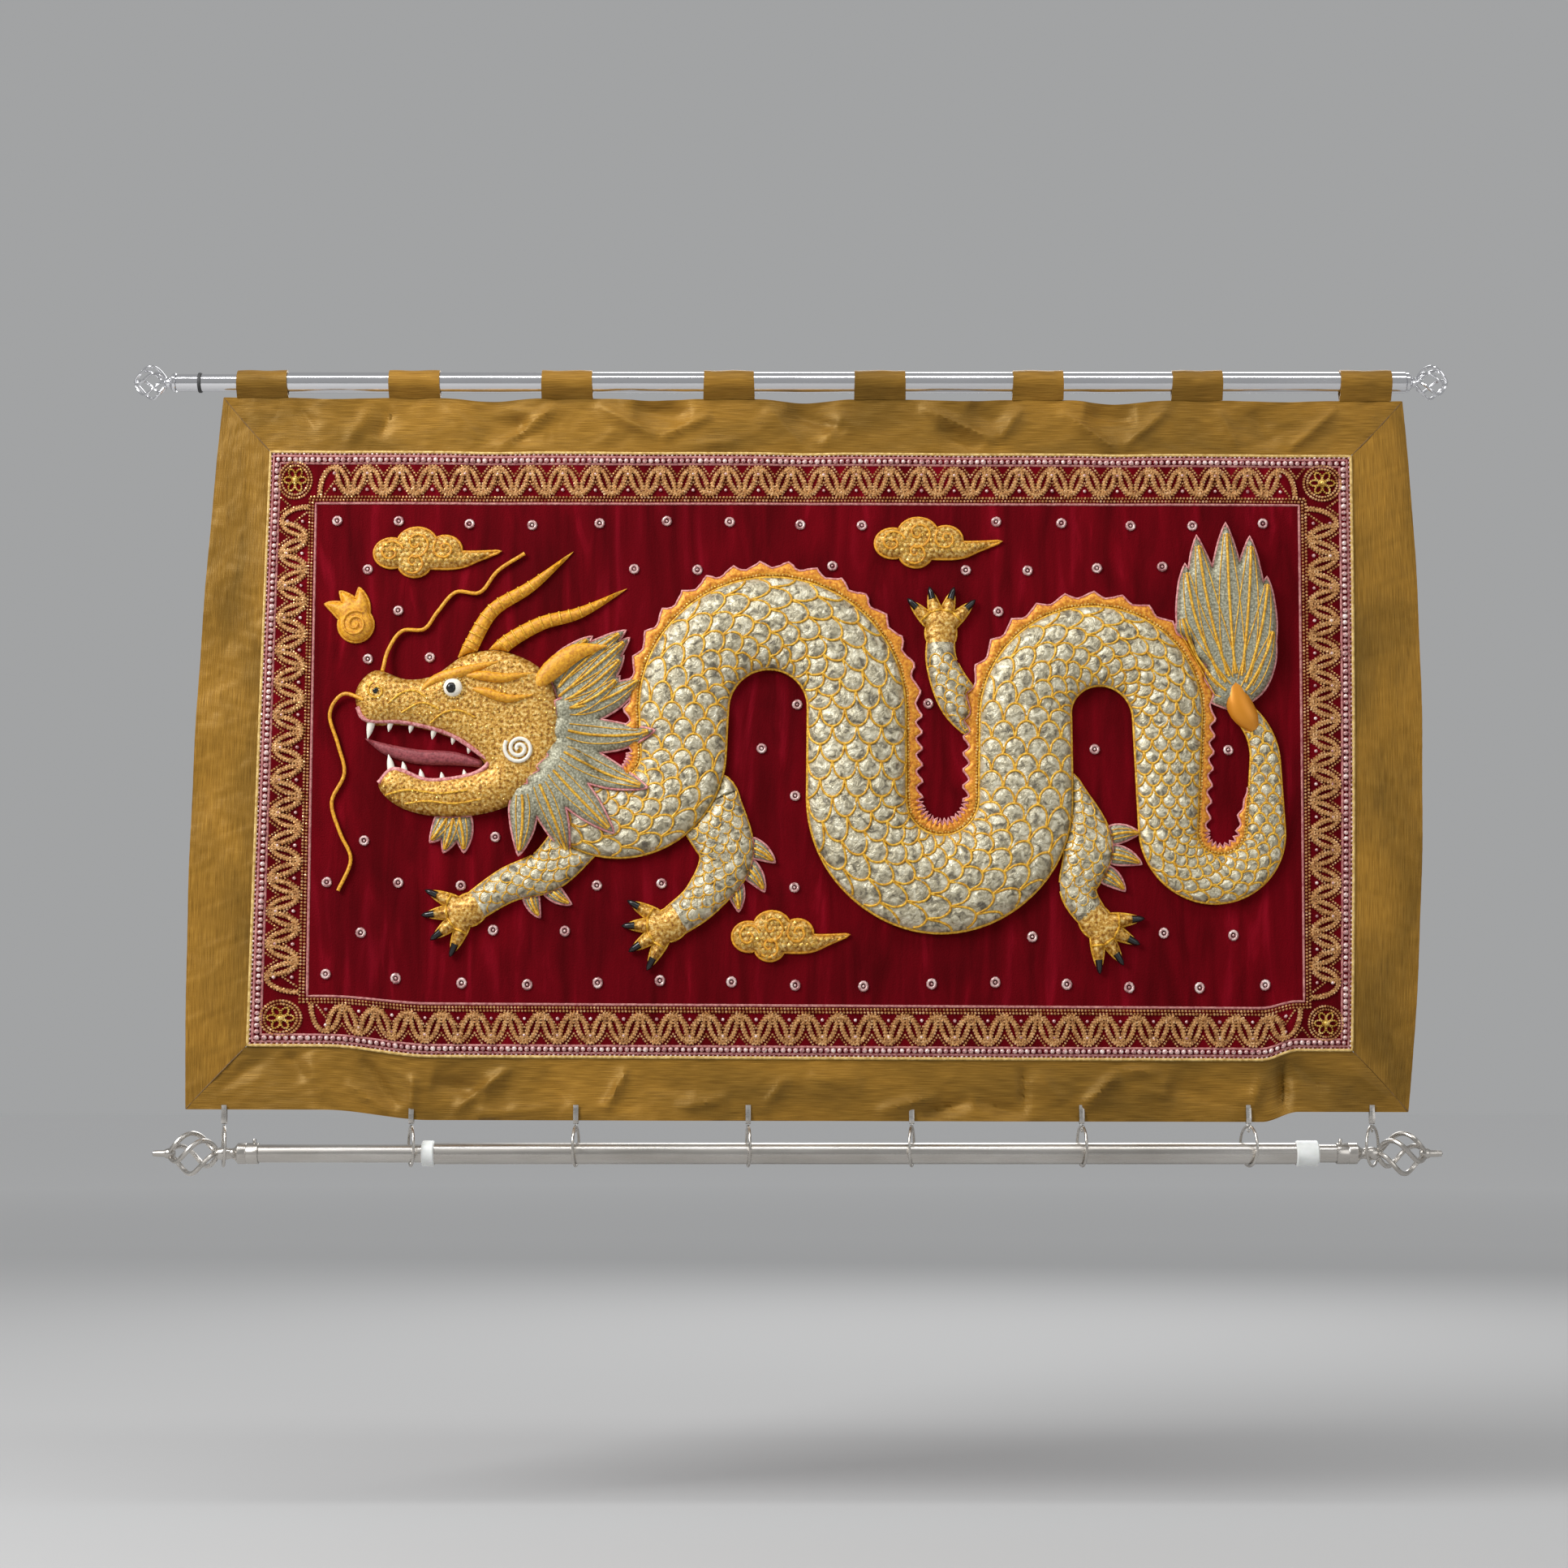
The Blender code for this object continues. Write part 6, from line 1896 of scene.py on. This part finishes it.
leg_outlines, claws, leg_cords, paw_cords = [], [], [], []
for name, rows, heading in LEGS:
    spine = smooth_path(rows, 24)
    run = np.concatenate([[0], np.cumsum(np.linalg.norm(np.diff(spine[:, :2], axis=0), axis=1))])
    a, b, _ = rows[-1]
    paw = [blob(a, b, 0.0165, 0.0140, heading)]
    paw += [band(toe, 4, pointed=True) for toe in toe_rows(a, b, heading)]
    shoulder = rows[0]
    outlines = [band(rows, 8), blob(*shoulder[:2], shoulder[2], shoulder[2]), *paw]

    def scaled(places, share, spine=spine, run=run):
        down, out = along_spine(places, spine)
        row = down / (ROW_SHARE * LEG_SCALE)
        fade = 1 - ease(down, run[-1] - 0.016, run[-1] - 0.006)
        return 0.0017 * fade * np.minimum(share * 2, 1) * scale_swell(row, out / LEG_SCALE)

    piece, rims, on_leg = stuffed(
        f"leg_pad_{name}", f"beast_leg_{name}", outlines, body_and_crest, 0.0095, 0.014,
        silver_cloth, "silver_cloth", 0.0030, scaled,
    )
    leg_outlines += outlines
    piece.data.materials.append(gold_cloth)
    flat = piece.data.uv_layers["flat"].data
    for face in piece.data.polygons:
        middle = np.mean([flat[corner].uv[:] for corner in face.loop_indices], axis=0)
        down, _ = along_spine(middle[None], spine)
        face.material_index = int(down[0] > run[-1] - 0.010)
    for row in range(int((run[-1] - 0.012) / (ROW_SHARE * LEG_SCALE))):
        for middle in np.arange(-3, 3.5) + (row % 2) / 2:
            out = (middle + np.linspace(-0.5, 0.5, 9)) * LEG_SCALE
            down = free_edge(row, out / LEG_SCALE) * ROW_SHARE * LEG_SCALE
            place = [np.interp(down, run, spine[:, column]) for column in (0, 1, 2)]
            side = sides_of(spine)
            arc = [place[way] + out * np.interp(down, run, side[:, way]) for way in (0, 1)]
            arc = np.stack(arc, axis=1)
            shows = (np.abs(out) < place[2] * 0.96) & ~covered(arc, body_and_crest)
            if shows.sum() > 2:
                leg_cords.append(laid_on(on_leg, arc[shows], 0.0003))
    paw_cords += rims
    for toe in toe_rows(a, b, heading):
        (a0, b0, _), (a1, b1, _) = toe[-2], toe[-1]
        tip = (a1 + (a1 - a0) * 0.45, b1 + (b1 - b0) * 0.45, 0.0004)
        claws.append(spike(((a0, b0, 0.0034), (a1, b1, 0.0024), tip), flat_ground(BASE + 0.0022), 0.0052))
        knuckle = np.array(toe[1][:2]) + np.linspace(-1, 1, 5)[:, None] * 0.0050 * np.array(
            [-(b1 - b0), a1 - a0]
        ) / math.hypot(a1 - a0, b1 - b0)
        paw_cords.append(laid_on(on_leg, knuckle, 0.0003))
    if name in FINS:
        fans = [lock_rows(row[:2], *row[2:]) for row in FINS[name]]
        cleared = [grown(outline, CLEAR) for outline in outlines[:2]]
        fan_outlines += fan_piece(
            f"leg_fins_{name}", None, fans, cleared + body_and_crest, 0.0040, 0.006
        )
make_piece("claws", *joined(*claws), [black_bead], "dark_rubber")
pin_up(
    "leg_cords",
    [
        cords(leg_cords, 0.0008, gold_cord, 5),
        cords(paw_cords, 0.0011, gold_cord),
    ],
)


# Clouds and the flaming pearl: small pads of gold-speckled cloth and of yellow silk, stuffed like
# the head. Whorls of cord and sequins are sewn on them, and a yellow cord runs round each.
CLOUDS = (
    # name, a, b, width
    ("high_left", -0.342, 0.178, 0.115),
    ("high_middle", 0.112, 0.188, 0.115),
    ("low", -0.020, -0.168, 0.105),
)
CLOUD_LOBES = (
    # along, up, radius, as shares of the width
    (-0.30, 0.00, 0.14), (-0.10, 0.07, 0.16), (0.12, 0.03, 0.13), (-0.12, -0.08, 0.13),
)
CLOUD_TAIL = ((-0.1, -0.03, 0.09), (0.2, -0.05, 0.07), (0.38, -0.02, 0.035), (0.56, 0.02, 0.004))
PEARL, PEARL_RADIUS = (-0.408, 0.112), 0.016
FLAMES = ((62, 0.034, 0.008, 24), (92, 0.034, 0.008, 24), (122, 0.034, 0.008, 24))
motif_outlines, motif_beads, motif_cords, motif_edges = [], [], [], []
for name, a, b, wide in CLOUDS:
    lobes = [blob(a + x * wide, b + y * wide, r * wide, r * wide * 0.85) for x, y, r in CLOUD_LOBES]
    tail = [(a + x * wide, b + y * wide, r * wide) for x, y, r in CLOUD_TAIL]
    outlines = [*lobes, band(tail, 6, pointed=True)]
    _, rims, on_cloud = stuffed(
        f"cloud_pad_{name}", f"cloud_{name}", outlines, [], 0.0055, 0.010, gold_cloth, "gold_cloth",
        0.003,
    )
    motif_outlines += outlines
    motif_edges += rims
    for x, y, r in CLOUD_LOBES:
        whorl = spiral((a + x * wide, b + y * wide), r * wide * 0.72, 1.3, x * 20)
        motif_cords.append(laid_on(on_cloud, whorl, 0.0006))
    grid_a, grid_b = np.meshgrid(np.arange(-0.07, 0.08, 0.0052), np.arange(-0.03, 0.03, 0.0046))
    grid_a += 0.0026 * (np.arange(grid_a.shape[0])[:, None] % 2)
    places = np.column_stack([a + grid_a.ravel(), b + grid_b.ravel()])
    kept = covered(places, outlines)
    edge = rims[0][:, :2]
    kept &= edge_distance(places, edge, np.roll(edge, -1, axis=0)) > BEAD_CLEAR
    motif_beads += [[place] for place in laid_on(on_cloud, places[kept], 0.0002)]
flames = [band(lock_rows(PEARL, *flame), 6, pointed=True) for flame in FLAMES]
outlines = [blob(*PEARL, PEARL_RADIUS, PEARL_RADIUS), *flames]
_, rims, on_pearl = stuffed(
    "pearl_pad", "pearl", outlines, [], 0.0060, 0.009, yellow_silk, "yellow_cord", 0.002,
)
motif_outlines += outlines
motif_edges += rims
motif_cords.append(laid_on(on_pearl, spiral(PEARL, 0.0125, 2.0, 1.0), 0.0006))
pin_up(
    "cloud_and_pearl_cords",
    [
        cords(motif_edges, 0.0012, yellow_silk, closed=True),
        cords(motif_cords, 0.0011, yellow_silk),
        grown_mesh(
            sewn_sequins, motif_beads, Radius=0.0022, Height=0.0014, Crown=0.35, Sides=6, Tilt=0.25,
            Seed=51, Finish=yellow_sequins,
        ),
    ],
)


# Field: ring-shaped sequins, each with a bead in its eye, sewn in a staggered grid wherever the
# velvet is bare.
RING_PITCH, ROW_PITCH, RING_CLEAR, RING_EDGE = 0.0600, 0.0420, 0.0085, 0.0160


def ring_tree():
    """Tree that sews a small ring at each point, turned a little at random."""
    tree, given, made = new_tree(
        "ring sequins",
        (
            ("Base", "Geometry"), ("Radius", "Float"), ("Thickness", "Float"), ("Seed", "Int"),
            ("Finish", "Material"),
        ),
    )
    add, join = tree.nodes.new, tree.links.new
    hoop = add("GeometryNodeCurvePrimitiveCircle")
    hoop.inputs["Resolution"].default_value = 10
    section = add("GeometryNodeCurvePrimitiveCircle")
    section.inputs["Resolution"].default_value = 4
    sweep = add("GeometryNodeCurveToMesh")
    lean = add("FunctionNodeRandomValue")
    lean.data_type = "FLOAT_VECTOR"
    lean.inputs[0].default_value = (-0.12, -0.12, 0.0)
    lean.inputs[1].default_value = (0.12, 0.12, 3.0)
    place = add("GeometryNodeInstanceOnPoints")
    join(given.outputs["Radius"], hoop.inputs["Radius"])
    join(given.outputs["Thickness"], section.inputs["Radius"])
    join(hoop.outputs["Curve"], sweep.inputs["Curve"])
    join(section.outputs["Curve"], sweep.inputs["Profile Curve"])
    join(given.outputs["Seed"], lean.inputs["Seed"])
    join(given.outputs["Base"], place.inputs["Points"])
    join(sweep.outputs["Mesh"], place.inputs["Instance"])
    join(lean.outputs[0], place.inputs["Rotation"])
    dressed(tree, given, made, place.outputs["Instances"])
    return tree


limit_a, limit_b = FIELD_HALF_WIDTH - RING_EDGE, FIELD_HALF_HEIGHT - RING_EDGE
rows = np.linspace(-limit_b, limit_b, round(2 * limit_b / ROW_PITCH) + 1)
places = []
for number, b in enumerate(rows):
    shift = (number % 2) * RING_PITCH / 2
    for a in np.arange(-limit_a + shift, limit_a + 0.001, RING_PITCH):
        places.append((a + 0.0022 * math.sin(61 * a + 9 * number), b + 0.0020 * math.sin(83 * a)))
places = np.array(places)
sewn_outlines = [
    *body_outline, *crest_outline, *head_outlines, *horn_outlines, *fan_outlines, *leg_outlines,
    *motif_outlines, lips, *[smooth_path(path, 5) for path in WHISKERS],
]
bare = ~covered(places, sewn_outlines) & (off_outlines(places, sewn_outlines) > RING_CLEAR)
eyelets = [[(a, b, PILE + 0.0010)] for a, b in places[bare]]
pin_up(
    "ring_sequins",
    [
        grown_mesh(ring_tree(), eyelets, Radius=0.0034, Thickness=0.0014, Seed=61, Finish=rose_silver),
        grown_mesh(sewn_pearls, eyelets, Radius=0.0014, Sides=1, Tilt=0.4, Seed=62, Finish=rose_silver),
    ],
)


# Studio: a grey floor under the hanging, painted darker near it and paler towards the horizon in place of
# light that the lamps don't spread so far, a soft light from the upper left, a fainter one from the right,
# one behind, and a long strip of light overhead for the metal.
# The camera looks up a little.
FLOOR_LEVEL, FLOOR_HALF, FLOOR_FADE = -1.02, 40.0, 9.0
CAMERA_PLACE, CAMERA_LENS, LOOKS_UP = (-0.0139, -2.586, -0.640), 66.37, 6.0

floor_mesh = bpy.data.meshes.new("studio_floor")
floor_mesh.from_pydata(
    [(x * FLOOR_HALF, y * FLOOR_HALF, FLOOR_LEVEL) for x, y in ((-1, -1), (1, -1), (1, 1), (-1, 1))],
    [],
    [(0, 1, 2, 3)],
)
studio_floor = bpy.data.objects.new("studio_floor", floor_mesh)
bpy.context.scene.collection.objects.link(studio_floor)
floor_finish = new_finish("grey floor", (0.5, 0.5, 0.5), 0.95)
tree = floor_finish.node_tree
place = tree.nodes.new("ShaderNodeTexCoord")
mapping = tree.nodes.new("ShaderNodeMapping")
mapping.inputs["Scale"].default_value = (1 / FLOOR_FADE,) * 3
# Painted light: the floor is coloured darker under the hanging and paler far off, where the lamps' light
# doesn't reach, so that it meets the sky without a seam.
painted_light_fade = tree.nodes.new("ShaderNodeTexGradient")
painted_light_fade.gradient_type = "SPHERICAL"
tree.links.new(place.outputs["Object"], mapping.inputs["Vector"])
tree.links.new(mapping.outputs["Vector"], painted_light_fade.inputs["Vector"])
graded(
    floor_finish,
    painted_light_fade.outputs["Fac"],
    ((0.0, (0.98, 0.98, 0.98)), (0.45, (0.80, 0.80, 0.80)), (1.0, (0.36, 0.36, 0.36))),
)
floor_mesh.materials.append(floor_finish)

for name, place, aim, size, power in (
    ("key_light", (-2.0, -1.6, 1.2), (0.05, 0.0, -0.35), (1.1, 1.1), 78),
    ("fill_light", (1.9, -2.0, 0.1), (0.1, 0.0, -0.35), (1.6, 1.6), 10),
    ("strip_light", (0.0, -0.9, 1.3), (0.0, 0.0, -0.2), (2.4, 0.25), 14),
    ("back_light", (0.4, 2.4, 1.2), (0.0, 0.0, -0.3), (1.6, 1.6), 30),
):
    lamp = bpy.data.lights.new(name, "AREA")
    lamp.shape = "RECTANGLE"
    lamp.size, lamp.size_y = size
    lamp.energy = power
    light = bpy.data.objects.new(name, lamp)
    light.location = place
    light.rotation_euler = (Vector(aim) - Vector(place)).to_track_quat("-Z", "Y").to_euler()
    bpy.context.scene.collection.objects.link(light)

sky = bpy.data.worlds.new("studio_air")
sky.use_nodes = True
sky.node_tree.nodes["Background"].inputs["Color"].default_value = (0.86, 0.87, 0.88, 1.0)
sky.node_tree.nodes["Background"].inputs["Strength"].default_value = 0.42
bpy.context.scene.world = sky
bpy.context.scene.view_settings.view_transform = "Standard"

camera = bpy.data.objects.new("camera", bpy.data.cameras.new("camera"))
camera.data.lens, camera.data.sensor_width = CAMERA_LENS, 36.0
camera.location = CAMERA_PLACE
camera.rotation_euler = (math.radians(90.0 + LOOKS_UP), 0.0, 0.0)
bpy.context.scene.collection.objects.link(camera)
bpy.context.scene.camera = camera
